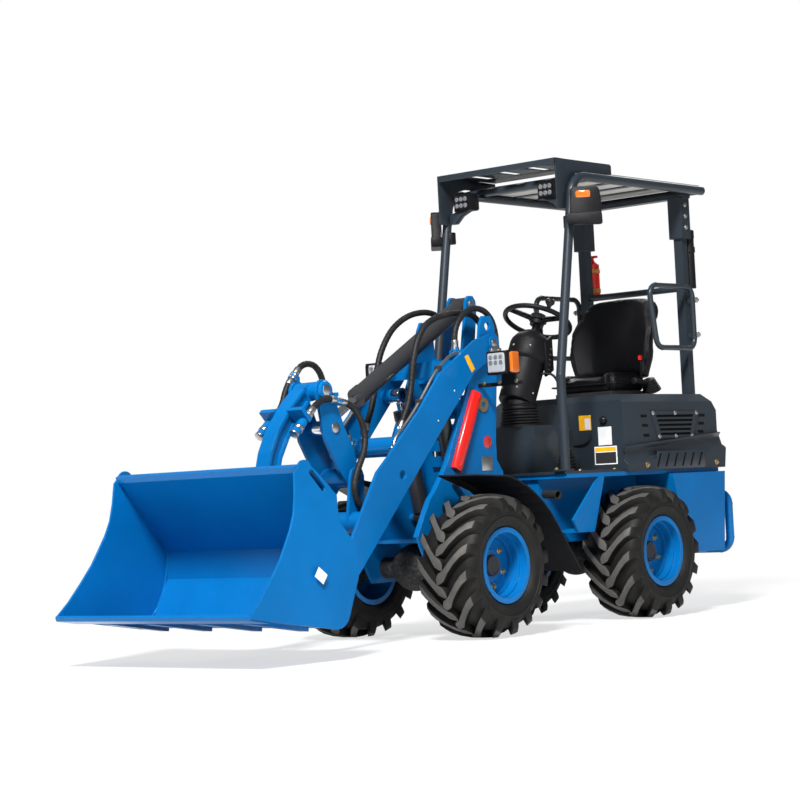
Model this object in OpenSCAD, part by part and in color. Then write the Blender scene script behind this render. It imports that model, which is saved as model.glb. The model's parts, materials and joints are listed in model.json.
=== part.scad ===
// Compact articulated wheel loader with a front bucket, a parallel-lift boom and an open canopy.
// Millimetres. +X points forward, +Y to the driver's left, +Z up. The ground is z = 0.
// Points of the side view are pairs [x, z], with x measured from the middle of the wheelbase.

/* [Wheels] */
// Distance between the front and rear axles
wheelbase = 1274; // [1150:1:1400]
// Radius of a tyre out to its lug tips
tyre_radius = 330; // [310:1:345]
// Width of a tyre at its widest
tyre_width = 310; // [260:1:320]
// Distance between the mid-planes of a left and a right tyre
track = 814; // [800:1:860]
// Radius of the rim where the tyre's bead sits
bead_radius = 160; // [140:1:170]
// Height of the rim's flange above the bead seat
flange_height = 15; // [8:1:20]
// Width of the rim over both flanges
rim_width = 270; // [230:1:290]
// How far the wheel's disc lies inside the outer flange
disc_inset = 115; // [80:1:130]
// Radius of the axle beam
axle_radius = 50; // [40:1:60]

/* [Front frame] */
// Outer face of the tower's side plates, from the middle
tower_y = 200; // [180:1:215]
// Thickness of the tower's side plates
tower_plate = 14; // [10:1:20]
// Height of the boom's pivot on the tower
boom_pivot_z = 1380; // [1330:1:1430]
// Boom pivot forward of the articulation axis
boom_pivot_x = 250; // [230:1:280]
// Height of the tilt cylinder's pin above the boom's pivot
tilt_rise = 203; // [180:1:230]
// Radius of the lifting eye in each tower plate
lift_eye_r = 20; // [14:1:24]
// Thickness of a fender's sheet
fender_sheet = 7; // [5:1:10]

/* [Boom] */
// Gap between a tower plate and the boom plate beside it
boom_gap = 9; // [6:1:15]
// Thickness of the boom's side plates
boom_plate = 16; // [12:1:20]
// Radius of the main pivot pins
pin_r = 25; // [20:1:28]
// Radius of the cylinder pins
cyl_pin_r = 20; // [16:1:22]
// Radius of the tubes that join the boom's plates
cross_tube_r = 46; // [38:1:50]

/* [Bucket] */
// Half width of the bucket at its lip
bucket_half_w = 587; // [560:1:640]
// Thickness of the bucket's sheet
bucket_sheet = 10; // [8:1:14]
// Lean of the bucket's sides, wider at the bottom, in degrees
bucket_flare = 3.8; // [0:0.1:5]
// Radius of the rolled heel between floor and back
heel_r = 90; // [60:1:120]

/* [Cylinders] */
// Outer radius of a lift cylinder's barrel
lift_barrel_r = 38; // [32:1:42]
// Outer radius of the tilt cylinder's barrel
tilt_barrel_r = 42; // [36:1:46]
// Radius of a cylinder rod
rod_r = 20; // [15:1:24]
// Wall of a cylinder barrel
barrel_wall = 8; // [6:1:10]
// Diameter of a wrapped hose
hose_d = 30; // [20:1:34]

/* [Rear frame] */
// Top of the steel deck plate
deck_z = 735; // [725:1:750]
// Half width of the deck
deck_half_w = 410; // [390:1:430]
// Outer face of the main rails, from the middle
rail_y = 215; // [190:1:230]
// Half width of the counterweight
weight_half_w = 450; // [420:1:470]
// Radius of the rear bumper's tube
bumper_tube_r = 22; // [16:1:26]

/* [Hood and seat] */
// Height of the hood's flat top above the deck
hood_height = 390; // [360:1:410]
// Thickness of the hood's sheet
hood_sheet = 6; // [4:1:8]
// How far the hood's skirts stand out from its sides
skirt_out = 22; // [12:1:30]
// Half width of the seat
seat_half_w = 215; // [190:1:235]
// Radius of the steering wheel to its rim's middle
wheel_rim_r = 168; // [150:1:185]

/* [Canopy] */
// Radius of the canopy's tubes
tube_r = 23; // [18:1:26]
// Top of the canopy's roof tubes
roof_z = 2228; // [2150:1:2300]
// Top of the header guard above the roof tubes
header_rise = 60; // [45:1:80]
// Radius of the bends of the canopy's tubes
canopy_bend = 110; // [80:1:140]
// Sideways place of the rear posts, from the middle
rear_post_y = 312; // [290:1:340]
// Side of the square rear posts
rear_post_w = 50; // [40:1:56]

/* [Hidden] */
$fa = 6;
$fs = 4;
seat_gap = 0.3;
run_gap = 0.05;
side_gap = 1;
sink = 1;

axle_z = tyre_radius;
front_x = wheelbase / 2;
rear_x = -wheelbase / 2;
hub_face = track / 2 + rim_width / 2 - disc_inset;
hub_r = 45;

lip = [2372, 219];
bumper_x = -1480;
origin_shift = -(lip[0] + bumper_x - bumper_tube_r) / 2;

boom_pivot = [boom_pivot_x, boom_pivot_z];
tilt_pin = boom_pivot + [-50, tilt_rise];
rocker_pivot = [1152, 766];
rocker_mid = [1254, 992];
rocker_top = [1318, 1160];
bucket_pivot = [1490, 225];
link_pin = [1625, 575];
lift_base = [430, 560];
lift_head = boom_pivot + [310, -230];
lift_barrel_len = norm(lift_head - lift_base) - 74;
tilt_barrel_len = norm(rocker_mid - tilt_pin) - 283;

tower_in = tower_y - tower_plate;
boom_y = tower_y + boom_gap;
boom_out = boom_y + boom_plate;
barrel_y = tower_in - 66;
rod_eye_w = 50;
tilt_ear_y = tilt_barrel_r + 5;
tilt_ear_t = 16;
rocker_y = 70;
rocker_plate = 16;
rocker_out = rocker_y + rocker_plate;
link_half_w = 40;
bucket_ear_out = boom_y - boom_gap;
bucket_ear_t = 16;
boom_tube = [860, 900];
boom_low_tube = [1180, 560];
boom_top_edge = [boom_pivot + [137, 12], [662, 1228], [820, 1061], [1048, 858], [1140, 782]];
tower_front_edge = [boom_pivot + [196, -248], [614, 803], [704, 689], [751, 645], [793, 577], [851, 478]];
link_outer = [[1400, 1170], [1490, 1090], [1580, 985], [1632, 890], [1658, 800], link_pin + [39, 10]];
link_inner = [[1360, 1110], [1440, 1035], [1510, 945], [1560, 862], [1582, 790], link_pin + [-39, -6]];
valve_low = [110, boom_pivot_z - 200];
valve_high = [206, boom_pivot_z - 110];
valve_half_w = 172;

bucket_heel = [1812, 129];
bucket_knee = [1705, 345];
bucket_back = [1702, 475];
bucket_crest = [1997, 804];

hood_half_w = deck_half_w + 5;
hood_top_z = deck_z + hood_height;
floor_z = deck_z + 15 + seat_gap;
column_foot = [-211, hood_top_z - 5];
column_top = column_foot + [-203, 399];
column_len = norm(column_top - column_foot);

weight_top = deck_z - 20 - seat_gap;
weight_foot = [-1343, 300];
weight_head_x = -1385;

canopy_y = deck_half_w - 19;
rail_z = roof_z - tube_r;
header_z = roof_z + header_rise;
post_knee = [-57, deck_z + 481];
post_lean = 10.4;
post_corner = [post_knee[0] - (rail_z - post_knee[1]) * tan(post_lean), rail_z];
rail_end = [-1400, rail_z];
front_bar_x = post_corner[0] - canopy_bend * tan(45 - post_lean / 2) - 32;
sleeve_half = 6;
rear_post_x = -1291;
sleeve_wall = 16;
guard_y = rear_post_y + rear_post_w / 2 + sleeve_wall + 14 + seat_gap;

// Routes of the hoses, as points [x, y, z] along their middles.
hose_boom_left_route = [[164, 110, 1288], [164, 110, 1340], [166, 110, 1395], [176, 110, 1447],
    [206, 110, 1491], [250, 110, 1521], [304, 110, 1532], [380, 110, 1530], [462, 110, 1520],
    [545, 110, 1500], [615, 110, 1465], [664, 110, 1412], [698, 110, 1345], [721, 110, 1265],
    [740, 110, 1175], [766, 110, 1095], [798, 110, 1040], [830, 110, 985]];
hose_boom_right_route = [[164, -110, 1288], [164, -110, 1345], [168, -110, 1405], [182, -110, 1462],
    [214, -110, 1510], [260, -110, 1540], [315, -110, 1553], [380, -110, 1552], [455, -110, 1538],
    [530, -110, 1508], [600, -110, 1462], [655, -110, 1402], [697, -110, 1335], [726, -110, 1255],
    [748, -110, 1172], [772, -110, 1100], [800, -110, 1040], [830, -110, 985]];
hose_arch_route = [[449, 150, 1362], [449, 150, 1410], [431, 150, 1462], [388, 150, 1511],
    [327, 150, 1545], [262, 150, 1552], [202, 150, 1536], [157, 150, 1496], [134, 150, 1440],
    [129, 150, 1375], [129, 150, 1288]];
hose_link_left_route = [[1441, 105, 1057], [1411, 105, 1083], [1378, 105, 1104], [1342, 105, 1117],
    [1304, 105, 1120], [1266, 105, 1114]];
hose_link_right_route = [[1441, -105, 1057], [1411, -105, 1083], [1387, -105, 1118], [1369, -105, 1160],
    [1347, -105, 1197], [1322, -105, 1222]];
hose_rocker_left_route = [[1234, 105, 1109], [1196, 105, 1103], [1150, 108, 1078], [1117, 114, 1034],
    [1100, 121, 980], [1104, 128, 924], [1128, 136, 872], [1162, 140, 822], [1191, 140, 770],
    [1205, 140, 718], [1191, 140, 665], [1152, 140, 627], [1100, 140, 613], [1048, 140, 627],
    [1009, 140, 665], [995, 140, 712], [984, 140, 772], [958, 140, 830], [925, 140, 880]];
hose_rocker_right_route = [[1298, -105, 1246], [1284, -105, 1260], [1246, -107, 1286], [1199, -111, 1295],
    [1152, -117, 1286], [1113, -123, 1258], [1090, -128, 1222], [1072, -133, 1172], [1048, -137, 1122],
    [1016, -140, 1074], [980, -140, 1028], [942, -140, 984], [905, -140, 940]];

blue = [0.05, 0.36, 0.72];
black = [0.07, 0.07, 0.08];
grey = [0.22, 0.24, 0.26];
steel = [0.72, 0.73, 0.75];
red = [0.78, 0.08, 0.06];
rubber = [0.09, 0.09, 0.09];

function unit(v) = v / norm(v);

function angle_of(v) = atan2(v[1], v[0]);

// The shortest turn from one angle to another.
function turn_between(from, to) = (to - from + 540) % 360 - 180;

// Where a corner at q, between p and s, is rounded to a radius: centre, first angle, turn.
function corner_arc(p, q, s, r) =
    let (u = unit(p - q), v = unit(s - q), half = acos(u * v) / 2, c = q + unit(u + v) * r / sin(half))
    let (a = angle_of(q + u * r / tan(half) - c), b = angle_of(q + v * r / tan(half) - c))
    [c, a, turn_between(a, b)];

// Points along a rounded corner.
function rounded(p, q, s, r, n = 5) =
    let (arc = corner_arc(p, q, s, r))
    [for (i = [0 : n]) arc[0] + r * [cos(arc[1] + arc[2] * i / n), sin(arc[1] + arc[2] * i / n)]];

// An outline with every corner rounded to the same radius.
function rounded_outline(pts, r, n = 4) =
    let (k = len(pts))
    [for (i = [0 : k - 1]) each rounded(pts[(i + k - 1) % k], pts[i], pts[(i + 1) % k], r, n)];

function reversed(pts) = [for (i = [len(pts) - 1 : -1 : 0]) pts[i]];

// A strip that follows a line of points, thickened by a shift.
function strip(pts, shift) = concat(pts, reversed([for (p = pts) p + shift]));

// Rear face of the counterweight, which leans back with height.
function weight_face(z) = weight_foot[0] + (z - weight_foot[1]) / (weight_top - weight_foot[1])
    * (weight_head_x - weight_foot[0]) - 2;

// Middle of the canopy's front post at a height.
function post_x(z) = post_knee[0] - (z - post_knee[1]) * tan(post_lean);

// Moves the whole machine so that the origin lies under the middle of its outline.
module place() {
    translate([origin_shift, 0, 0])
        children();
}

// A plate cut from a side profile in x and z, between two sideways places.
module side_plate(y0, y1) {
    translate([0, y1, 0])
        rotate([90, 0, 0])
            linear_extrude(height = y1 - y0)
                children();
}

// The same plate on both sides of the middle.
module both_plates(y0, y1) {
    side_plate(y0, y1)
        children();
    side_plate(-y1, -y0)
        children();
}

// A plate cut from a front profile in y and z, between two places along x.
module front_plate(x0, x1) {
    translate([x0, 0, 0])
        rotate([90, 0, 90])
            linear_extrude(height = x1 - x0)
                children();
}

// A round bar along y at a point of the side view.
module y_bar(p, r, y0, y1) {
    translate([p[0], y0, p[1]])
        rotate([-90, 0, 0])
            cylinder(r = r, h = y1 - y0);
}

// The same bar on both sides.
module both_bars(p, r, y0, y1) {
    y_bar(p, r, y0, y1);
    y_bar(p, r, -y1, -y0);
}

// Turns what stands on z so that it runs from one point of the side view towards another.
module along(p, q, y) {
    d = q - p;
    translate([p[0], y, p[1]])
        rotate([0, atan2(d[0], d[1]), 0])
            children();
}

// A bar between two points of the side view, at one sideways place.
module side_rod(p, q, y, r, from = 0, to = 0) {
    along(p, q, y)
        translate([0, 0, from])
            cylinder(r = r, h = (to == 0 ? norm(q - p) : to) - from);
}

// A straight tube between two points in space.
module tube(p, q, r) {
    d = q - p;
    translate(p)
        rotate([0, acos(d[2] / norm(d)), atan2(d[1], d[0])])
            cylinder(r = r, h = norm(d));
}

// A tube bent along a line of points of the side view, open or closed, with a sleeve over each joint of a bend.
module bent_tube(pts, y, bend, r, closed = false) {
    k = len(pts);
    arcs = [for (i = [0 : k - 1]) corner_arc(pts[(i + k - 1) % k], pts[i], pts[(i + 1) % k], bend)];
    starts = [for (i = [0 : k - 1]) arc_end(arcs[i], bend, 1)];
    ends = [for (i = [0 : k - 1]) arc_end(arcs[i], bend, 0)];
    for (i = [closed ? 0 : 1 : closed ? k - 1 : k - 2])
        translate([arcs[i][0][0], y, arcs[i][0][1]])
            rotate([90, 0, 0])
                rotate([0, 0, min(arcs[i][1], arcs[i][1] + arcs[i][2])])
                    rotate_extrude(angle = abs(arcs[i][2]))
                        translate([bend, 0])
                            circle(r = r);
    for (i = [0 : closed ? k - 1 : k - 2]) {
        j = (i + 1) % k;
        p = !closed && i == 0 ? pts[0] : starts[i];
        q = !closed && j == k - 1 ? pts[j] : ends[j];
        d = unit(q - p);
        side_rod(p == pts[0] ? p : p + sleeve_half / 2 * d, q == pts[j] ? q : q - sleeve_half / 2 * d, y, r);
        for (e = [p, q])
            if (e != pts[i] && e != pts[j])
                side_rod(e - sleeve_half * d, e + sleeve_half * d, y, r + 1);
    }
}

// A weld around the joint of two tubes, a little proud of both.
module weld(p, r) {
    translate(p)
        sphere(r = r + 0.4);
}

// Where a rounded corner begins (0) or ends (1).
function arc_end(arc, r, at) = arc[0] + r * [cos(arc[1] + arc[2] * at), sin(arc[1] + arc[2] * at)];

// A block between two corners.
module block(low, high) {
    translate(low)
        cube(high - low);
}

// Mirrors a left-hand piece to the right as well.
module both_sides() {
    children();
    mirror([0, 1, 0])
        children();
}

// A hose swept along its route as one tube with flat ends.
module hose(route) {
    sides = 10;
    last = len(route) - 1;
    ring = [for (i = [0 : last])
        let (t = unit(route[min(i + 1, last)] - route[max(i - 1, 0)]))
        let (n = unit([0, 1, 0] - t[1] * t), b = cross(t, n))
        for (k = [0 : sides - 1])
            route[i] + hose_d / 2 * (cos(360 * k / sides) * n + sin(360 * k / sides) * b)];
    walls = [for (i = [0 : last - 1], k = [0 : sides - 1])
        let (m = (k + 1) % sides)
        [i * sides + k, (i + 1) * sides + k, (i + 1) * sides + m, i * sides + m]];
    caps = [[for (k = [0 : sides - 1]) k], [for (k = [sides - 1 : -1 : 0]) last * sides + k]];
    color(rubber)
        place()
            polyhedron(concat(ring), concat(walls, caps));
}

// Puts a left-hand wheel piece, drawn about the z axis with its outer side up, on its axle.
module on_axle(name) {
    front = name == "fl" || name == "fr";
    left = name == "fl" || name == "rl";
    place()
        translate([front ? front_x : rear_x, (left ? 1 : -1) * track / 2, axle_z])
            rotate([left ? -90 : 90, 0, 0])
                children();
}

module tyre(name) {
    bead = rim_width / 2 - 12 - seat_gap;
    half = tyre_width / 2;
    foot = bead_radius + flange_height + 2;
    belly = (foot + tyre_radius) / 2;
    side = [[bead_radius, bead], [foot, bead], [foot + 6, bead + 16], [belly - 30, half - 3],
        [belly, half], [belly + 30, half - 4], [tyre_radius - 18, half - 14], [tyre_radius - 5, half - 26],
        [tyre_radius, half - 48]];
    other = [for (p = reversed(side)) [p[0], -p[1]]];
    color(rubber)
        on_axle(name)
            rotate_extrude()
                polygon(concat(side, other));
}

module rim(name) {
    half = rim_width / 2;
    flange_t = 12;
    wall = 9;
    inner = bead_radius - wall;
    disc = half - disc_inset;
    flange = bead_radius + flange_height;
    color(blue)
        on_axle(name)
            rotate_extrude() {
                translate([inner, -half])
                    square([wall - seat_gap, rim_width]);
                for (y = [-half, half - flange_t])
                    translate([inner, y])
                        square([flange - inner, flange_t]);
                for (step = [1 : 2])
                    translate([inner - 9 * step, disc])
                        square([9 * step + sink, disc_inset - 40 * step]);
                translate([hub_r + run_gap, disc])
                    square([inner - hub_r, 14]);
                translate([hub_r + run_gap, disc])
                    square([30, 24]);
            }
}

module axle(x) {
    y_bar([x, axle_z], axle_radius, -hub_face + 20, hub_face - 20);
    translate([x, 0, axle_z])
        sphere(r = 112);
    both_bars([x, axle_z], 84, hub_face - 44, hub_face - side_gap);
    both_bars([x, axle_z], hub_r, hub_face - 30, hub_face + 20);
}

module front_axle() {
    color(black)
        place()
            axle(front_x);
}

module rear_axle() {
    color(black)
        place() {
            axle(rear_x);
            side_rod([rear_x, axle_z + 40], [rear_x + 330, axle_z + 90], 0, 34);
        }
}

module tower_profile() {
    polygon(concat([[205, axle_z], [190, 760], [234, 820], [234, 915], boom_pivot + [-44, -200],
        boom_pivot + [-60, -50], boom_pivot + [-47, 90], boom_pivot + [-22, 132], boom_pivot + [40, 132],
        boom_pivot + [64, 90], boom_pivot + [80, 0], boom_pivot + [100, -50]], tower_front_edge,
        [[front_x + 193, axle_z + 90], [front_x + 103, axle_z - 68], [front_x - 117, axle_z - 68],
        [front_x - 167, axle_z]]));
}

module front_frame() {
    eye = boom_pivot + [8, 82];
    shelf = boom_pivot_z - 170;
    in = tower_in + sink;
    color(blue)
        place() {
            difference() {
                both_plates(tower_in, tower_y)
                    tower_profile();
                y_bar(eye, lift_eye_r, -tower_y - 1, tower_y + 1);
                y_bar([front_x, axle_z], axle_radius + seat_gap, -tower_y - 1, tower_y + 1);
            }
            both_plates(tower_in - 16, in)
                polygon(strip(tower_front_edge, [-11, -8]));
            both_bars(boom_pivot, pin_r, tower_in + 1, boom_out + 8);
            both_bars(boom_pivot, pin_r + 12, boom_out + side_gap, boom_out + 9);
            both_bars(boom_pivot, pin_r + 16, tower_y - 1, boom_y - side_gap);
            y_bar(lift_base, cyl_pin_r, -in, in);
            block([190, -in, axle_z], [208, in, 700]);
            difference() {
                block([300, -in, 640], [312, in, boom_pivot_z - 260]);
                for (i = [0 : 4])
                    block([290, -tower_in + 46, 700 + 76 * i], [320, tower_in - 46, 724 + 76 * i]);
            }
            block([215, -in, shelf], [330, in, shelf + 15]);
            block([205, -in, shelf], [220, in, boom_pivot_z - 50]);
            block([front_x - 77, -in, axle_z + 118], [front_x + 123, in, axle_z + 134]);
            both_plates(tilt_ear_y, tilt_ear_y + tilt_ear_t)
                polygon([boom_pivot + [-43, -158], boom_pivot + [-54, -50], tilt_pin + [-40, -23],
                    tilt_pin + [-35, 17], tilt_pin + [-15, 41], tilt_pin + [15, 41], tilt_pin + [36, 17],
                    tilt_pin + [40, -13], boom_pivot + [60, -158]]);
            y_bar(tilt_pin, cyl_pin_r, -tilt_ear_y - 1, tilt_ear_y + 1);
            valve_block();
            articulation_lugs();
        }
}

// The block of control valves on the tower's back, with a stub for each hose.
module valve_block() {
    block([valve_low[0], -valve_half_w, valve_low[1]], [valve_high[0], valve_half_w, valve_high[1]]);
    for (route = [hose_boom_left_route, hose_boom_right_route, reversed(hose_arch_route)])
        translate([route[0][0], route[0][1], valve_high[1] - sink])
            cylinder(r = hose_d / 2 + 5, h = route[0][2] - valve_high[1] + sink - seat_gap);
}

module articulation_lugs() {
    for (z = [axle_z + 30, axle_z + 270])
        difference() {
            union() {
                block([0, -60, z], [200, 60, z + 25]);
                translate([0, 0, z])
                    cylinder(r = 60, h = 25);
            }
            translate([0, 0, z - 1])
                cylinder(r = 30 + run_gap, h = 27);
        }
}

// A fender's sheet in side view: an arc from the tip over the wheel, then straight down to the foot.
function fender_line(r) =
    let (axis = [front_x + 117, axle_z - 190], foot_len = 290, end = 143)
    concat([for (i = [0 : 8]) axis + r * [cos(90 + (end - 90) * i / 8), sin(90 + (end - 90) * i / 8)]],
        [axis + r * [cos(end), sin(end)] + foot_len * [-sin(end), cos(end)]]);

module fender() {
    outer = fender_line(tyre_radius + 287);
    inner = fender_line(tyre_radius + 287 - fender_sheet);
    y_in = track / 2 - 149;
    y_out = track / 2 + 153;
    hub = [front_x, axle_z];
    difference() {
        union() {
            side_plate(y_in, y_out)
                polygon(concat(outer, reversed(inner)));
            side_plate(y_in, y_in + fender_sheet)
                polygon(concat([for (i = [0 : 8]) outer[i]], [hub + [-337, 140], hub + [-237, 265],
                    hub + [-107, 347], inner[0]]));
        }
        translate([0, 0, axle_z])
            linear_extrude(height = 600)
                polygon([[front_x + 131, y_in - 5], [front_x - 17, y_out + 5], [front_x + 400, y_out + 5],
                    [front_x + 400, y_in - 5]]);
    }
    for (low = [hub + [-97, 370], hub + [-305, 222]])
        block([low[0], tower_y + seat_gap, low[1]], [low[0] + 45, y_in + sink, low[1] + 12]);
}

module fenders() {
    color(black)
        place()
            both_sides()
                fender();
}

module head_lamps() {
    low_z = boom_pivot_z - 163;
    high_z = low_z + 111;
    back = 350;
    face = 412;
    color(black)
        place()
            both_sides() {
                block([back - 20, tower_y + seat_gap, low_z - 51], [back, 452, low_z - 33]);
                block([back - 12, 345, low_z - 40], [back + sink, 425, low_z + 20]);
                block([back, 310, low_z], [face, 452, high_z]);
                for (lens = [[318, 386], [394, 446]])
                    block([face - sink, lens[0], low_z + 8], [face + 9, lens[1], high_z - 8]);
            }
}

// The red lock for the raised boom, a channel stowed on the left side of the tower.
module safety_strut() {
    p = [375, 1140];
    q = [557, 777];
    depth = 24;
    half = 27;
    wall = 5;
    color(red)
        place()
            difference() {
                along(p, q, tower_y + seat_gap)
                    block([-half, 0, 0], [half, depth, norm(q - p)]);
                along(p, q, tower_y + seat_gap)
                    block([-half + wall, -1, -1], [half - wall, depth - wall, norm(q - p) + 1]);
            }
}

module boom_profile() {
    polygon(concat([boom_pivot + [-15, 46], boom_pivot + [15, 46]], boom_top_edge, [[1334, 487],
        bucket_pivot + [46, 38], bucket_pivot + [-43, -42], [1234, 393], boom_pivot + [150, -141],
        boom_pivot + [78, -107], boom_pivot + [-28, -40]]));
    translate(boom_pivot)
        circle(r = 48);
    translate(bucket_pivot)
        circle(r = 58);
}

module boom() {
    across = boom_y + sink;
    color(blue)
        place() {
            difference() {
                both_plates(boom_y, boom_out)
                    boom_profile();
                y_bar(boom_pivot, pin_r + run_gap, -boom_out - 1, boom_out + 1);
                y_bar([964, 765], 22, -boom_out - 1, boom_out + 1);
            }
            y_bar(boom_tube, cross_tube_r, -across, across);
            y_bar(boom_low_tube, cross_tube_r + 4, -across, across);
            block([boom_pivot_x + 255, -across, boom_pivot_z - 155], [boom_pivot_x + 270, across,
                boom_pivot_z - 80]);
            both_plates(100, 116)
                polygon([rocker_pivot + [-44, 4], rocker_pivot + [-32, 34], rocker_pivot + [0, 46],
                    rocker_pivot + [34, 34], rocker_pivot + [48, -1], [1230, 570], [1150, 540], [1116, 650]]);
            y_bar(rocker_pivot, pin_r, -117, 117);
            both_bars(lift_head, pin_r + 8, barrel_y + rod_eye_w / 2 + side_gap, across);
            both_bars(bucket_pivot, pin_r, bucket_ear_out - bucket_ear_t - 6, across);
            boom_fittings();
        }
}

// Stubs on the boom where its hoses end, and the bracket under the arched one.
module boom_fittings() {
    arch = hose_arch_route[0];
    stub_r = hose_d / 2 + 5;
    for (route = [hose_boom_left_route, hose_boom_right_route, hose_rocker_left_route, hose_rocker_right_route])
        end_stub(route, 62, stub_r);
    block([arch[0] - 18, arch[1] - 22, arch[2] - 32], [arch[0] + 18, boom_y + sink, arch[2] - 14]);
    translate([arch[0], arch[1], arch[2] - 20])
        cylinder(r = stub_r, h = 20 - seat_gap);
}

// A stub that carries on from the end of a hose in the hose's own direction.
module end_stub(route, length, r) {
    last = len(route) - 1;
    a = route[last];
    d = unit(a - route[last - 1]);
    tube(a + seat_gap * d, a + length * d, r);
}

module rocker() {
    color(blue)
        place() {
            difference() {
                union() {
                    both_plates(rocker_y, rocker_out)
                        rocker_profile();
                    y_bar(rocker_pivot, 46, -rocker_y - sink, rocker_y + sink);
                    y_bar(rocker_top, pin_r, -rocker_y - sink, rocker_y + sink);
                    both_bars(rocker_mid, pin_r + 8, rod_eye_w / 2 + side_gap, rocker_y + sink);
                }
                y_bar(rocker_pivot, pin_r + run_gap, -rocker_out - 1, rocker_out + 1);
            }
            hose_union(hose_link_left_route, hose_rocker_left_route, 1, rocker_top + [-68, -10]);
            hose_union(hose_link_right_route, hose_rocker_right_route, -1, rocker_top + [-22, 20]);
        }
}

// A union on the rocker's side that joins two hoses, held off the plate by an arm with its foot at [x, z].
module hose_union(from, to, side, foot) {
    a = from[len(from) - 1];
    b = to[0];
    d = unit(b - a);
    mid = (a + b) / 2;
    half = 8;
    y = [min(side * (rocker_out - sink), mid[1]), max(side * (rocker_out - sink), mid[1])];
    tube(a + seat_gap * d, b - seat_gap * d, hose_d / 2 + 5);
    block([foot[0] - half, y[0], min(mid[2], foot[1])], [foot[0] + half, y[1], max(mid[2], foot[1])]);
}

module rocker_profile() {
    polygon([rocker_pivot + [-44, 12], rocker_pivot + [40, -22], [1240, 800], [1322, 937],
        rocker_top + [48, -14], rocker_top + [-46, 20], [1189, 990], [1130, 880]]);
    translate(rocker_pivot)
        circle(r = 46);
    translate(rocker_top)
        circle(r = 50);
}

module link() {
    color(blue)
        place()
            difference() {
                union() {
                    side_plate(-link_half_w + 14, link_half_w - 14)
                        polygon(concat([rocker_top + [0, 42]], link_outer, reversed(link_inner),
                            [rocker_top + [0, -42]]));
                    side_plate(-link_half_w, link_half_w) {
                        polygon(strip(link_outer, [-13, -7]));
                        polygon(strip(link_inner, [13, 7]));
                        translate(link_pin)
                            circle(r = 40);
                    }
                    y_bar(rocker_top, 42, -rocker_y + side_gap, rocker_y - side_gap);
                }
                y_bar(rocker_top, pin_r + run_gap, -100, 100);
            }
}

// Quick couplers for a tool's hoses, one on each side of the link.
module couplers() {
    start = hose_link_left_route[0];
    p = [start[0], start[2]];
    q = p + [104, -89];
    arm = [[1452, 1030], [1468, 1016], [1520, 1072], [1504, 1086]];
    color(blue)
        place()
            both_sides() {
                side_plate(link_half_w + seat_gap, start[1] + 24)
                    polygon(arm);
                side_rod(p, q, start[1], 17, seat_gap);
                side_rod(p, q, start[1], 22, 60, 92);
                side_rod(p, q, start[1], 22, 112, 136);
            }
}

module bucket_shell() {
    line = concat([lip], rounded(lip, bucket_heel, bucket_knee, heel_r, 6),
        [bucket_knee, bucket_back, bucket_crest]);
    inner_heel = bucket_heel + [6, 13];
    inner_knee = bucket_knee + [11, 3];
    inside = concat([lip + [-6, 11]], rounded(lip + [-6, 11], inner_heel, inner_knee, heel_r - bucket_sheet, 6),
        [inner_knee, bucket_back + [11, -4], bucket_crest + [9, -7]]);
    polygon(concat(line, reversed(inside)));
    polygon([bucket_crest + [-7, -6], bucket_crest + [13, -16], bucket_crest + [25, 10], bucket_crest + [5, 20]]);
    polygon([lip + [-1, 1], lip + [-120, -16], lip + [-122, -33], lip + [-8, -14]]);
}

module bucket_side_profile() {
    ear = bucket_crest + [-31, -4];
    difference() {
        union() {
            polygon(concat([lip + [-8, -7]], rounded(lip + [-8, -7], bucket_heel + [-5, -6],
                bucket_knee + [-7, -2], heel_r, 6), [bucket_knee + [-7, -2], bucket_back + [-7, 3], [1788, 582],
                [1786, 690], [1870, 770], ear + [-32, 22], ear + [32, 22], [2030, 790], [2040, 700],
                [2056, 625], [2084, 563], [2120, 505], [2163, 438], [2228, 360], [2296, 285], lip + [-12, 9]]));
            translate(ear)
                circle(r = 43);
        }
        bucket_slot();
    }
}

module bucket_slot() {
    ends = [[1866, 722], [1928, 788]];
    half = 13.6;
    d = ends[1] - ends[0];
    for (e = ends)
        translate(e)
            circle(r = 14);
    translate(ends[0])
        rotate(angle_of(d))
            translate([0, -half])
                square([norm(d), 2 * half]);
}

module at_flare() {
    translate([0, bucket_half_w, lip[1]])
        rotate([bucket_flare, 0, 0])
            translate([0, 0, -lip[1]])
                children();
}

module bucket() {
    ear_in = bucket_ear_out - bucket_ear_t;
    floor_slope = (lip - bucket_heel) / norm(lip - bucket_heel);
    wear_from = bucket_heel + 70 * floor_slope;
    wear_to = bucket_heel + 420 * floor_slope;
    color(blue)
        place() {
            difference() {
                side_plate(-bucket_half_w - 40, bucket_half_w + 40)
                    bucket_shell();
                both_sides()
                    at_flare()
                        block([1500, -bucket_sheet / 2, -200], [2600, 200, 1200]);
            }
            both_sides()
                at_flare()
                    side_plate(-bucket_sheet, 0)
                        bucket_side_profile();
            for (y = [-420, -150, 150, 420])
                side_plate(y - 28, y + 28)
                    polygon([wear_from + [0, 1], wear_to + [0, 1], wear_to + [2, -14], wear_from + [2, -14]]);
            difference() {
                both_plates(ear_in, bucket_ear_out) {
                    polygon([bucket_pivot + [0, 58], bucket_pivot + [0, -58], [1640, 150],
                        bucket_heel + [56, 20], bucket_heel + [-18, 60], bucket_knee + [5, 1],
                        bucket_back + [6, -1], [1640, 420]]);
                    translate(bucket_pivot)
                        circle(r = 58);
                }
                y_bar(bucket_pivot, pin_r + run_gap, -300, 300);
            }
            both_plates(60, 76) {
                polygon([link_pin + [-22, -28], bucket_back + [5, -35], bucket_back + [6, -2], [1840, 622],
                    link_pin + [10, 34]]);
                translate(link_pin)
                    circle(r = 46);
            }
            both_bars(link_pin, pin_r, link_half_w + side_gap, 61);
        }
}

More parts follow.
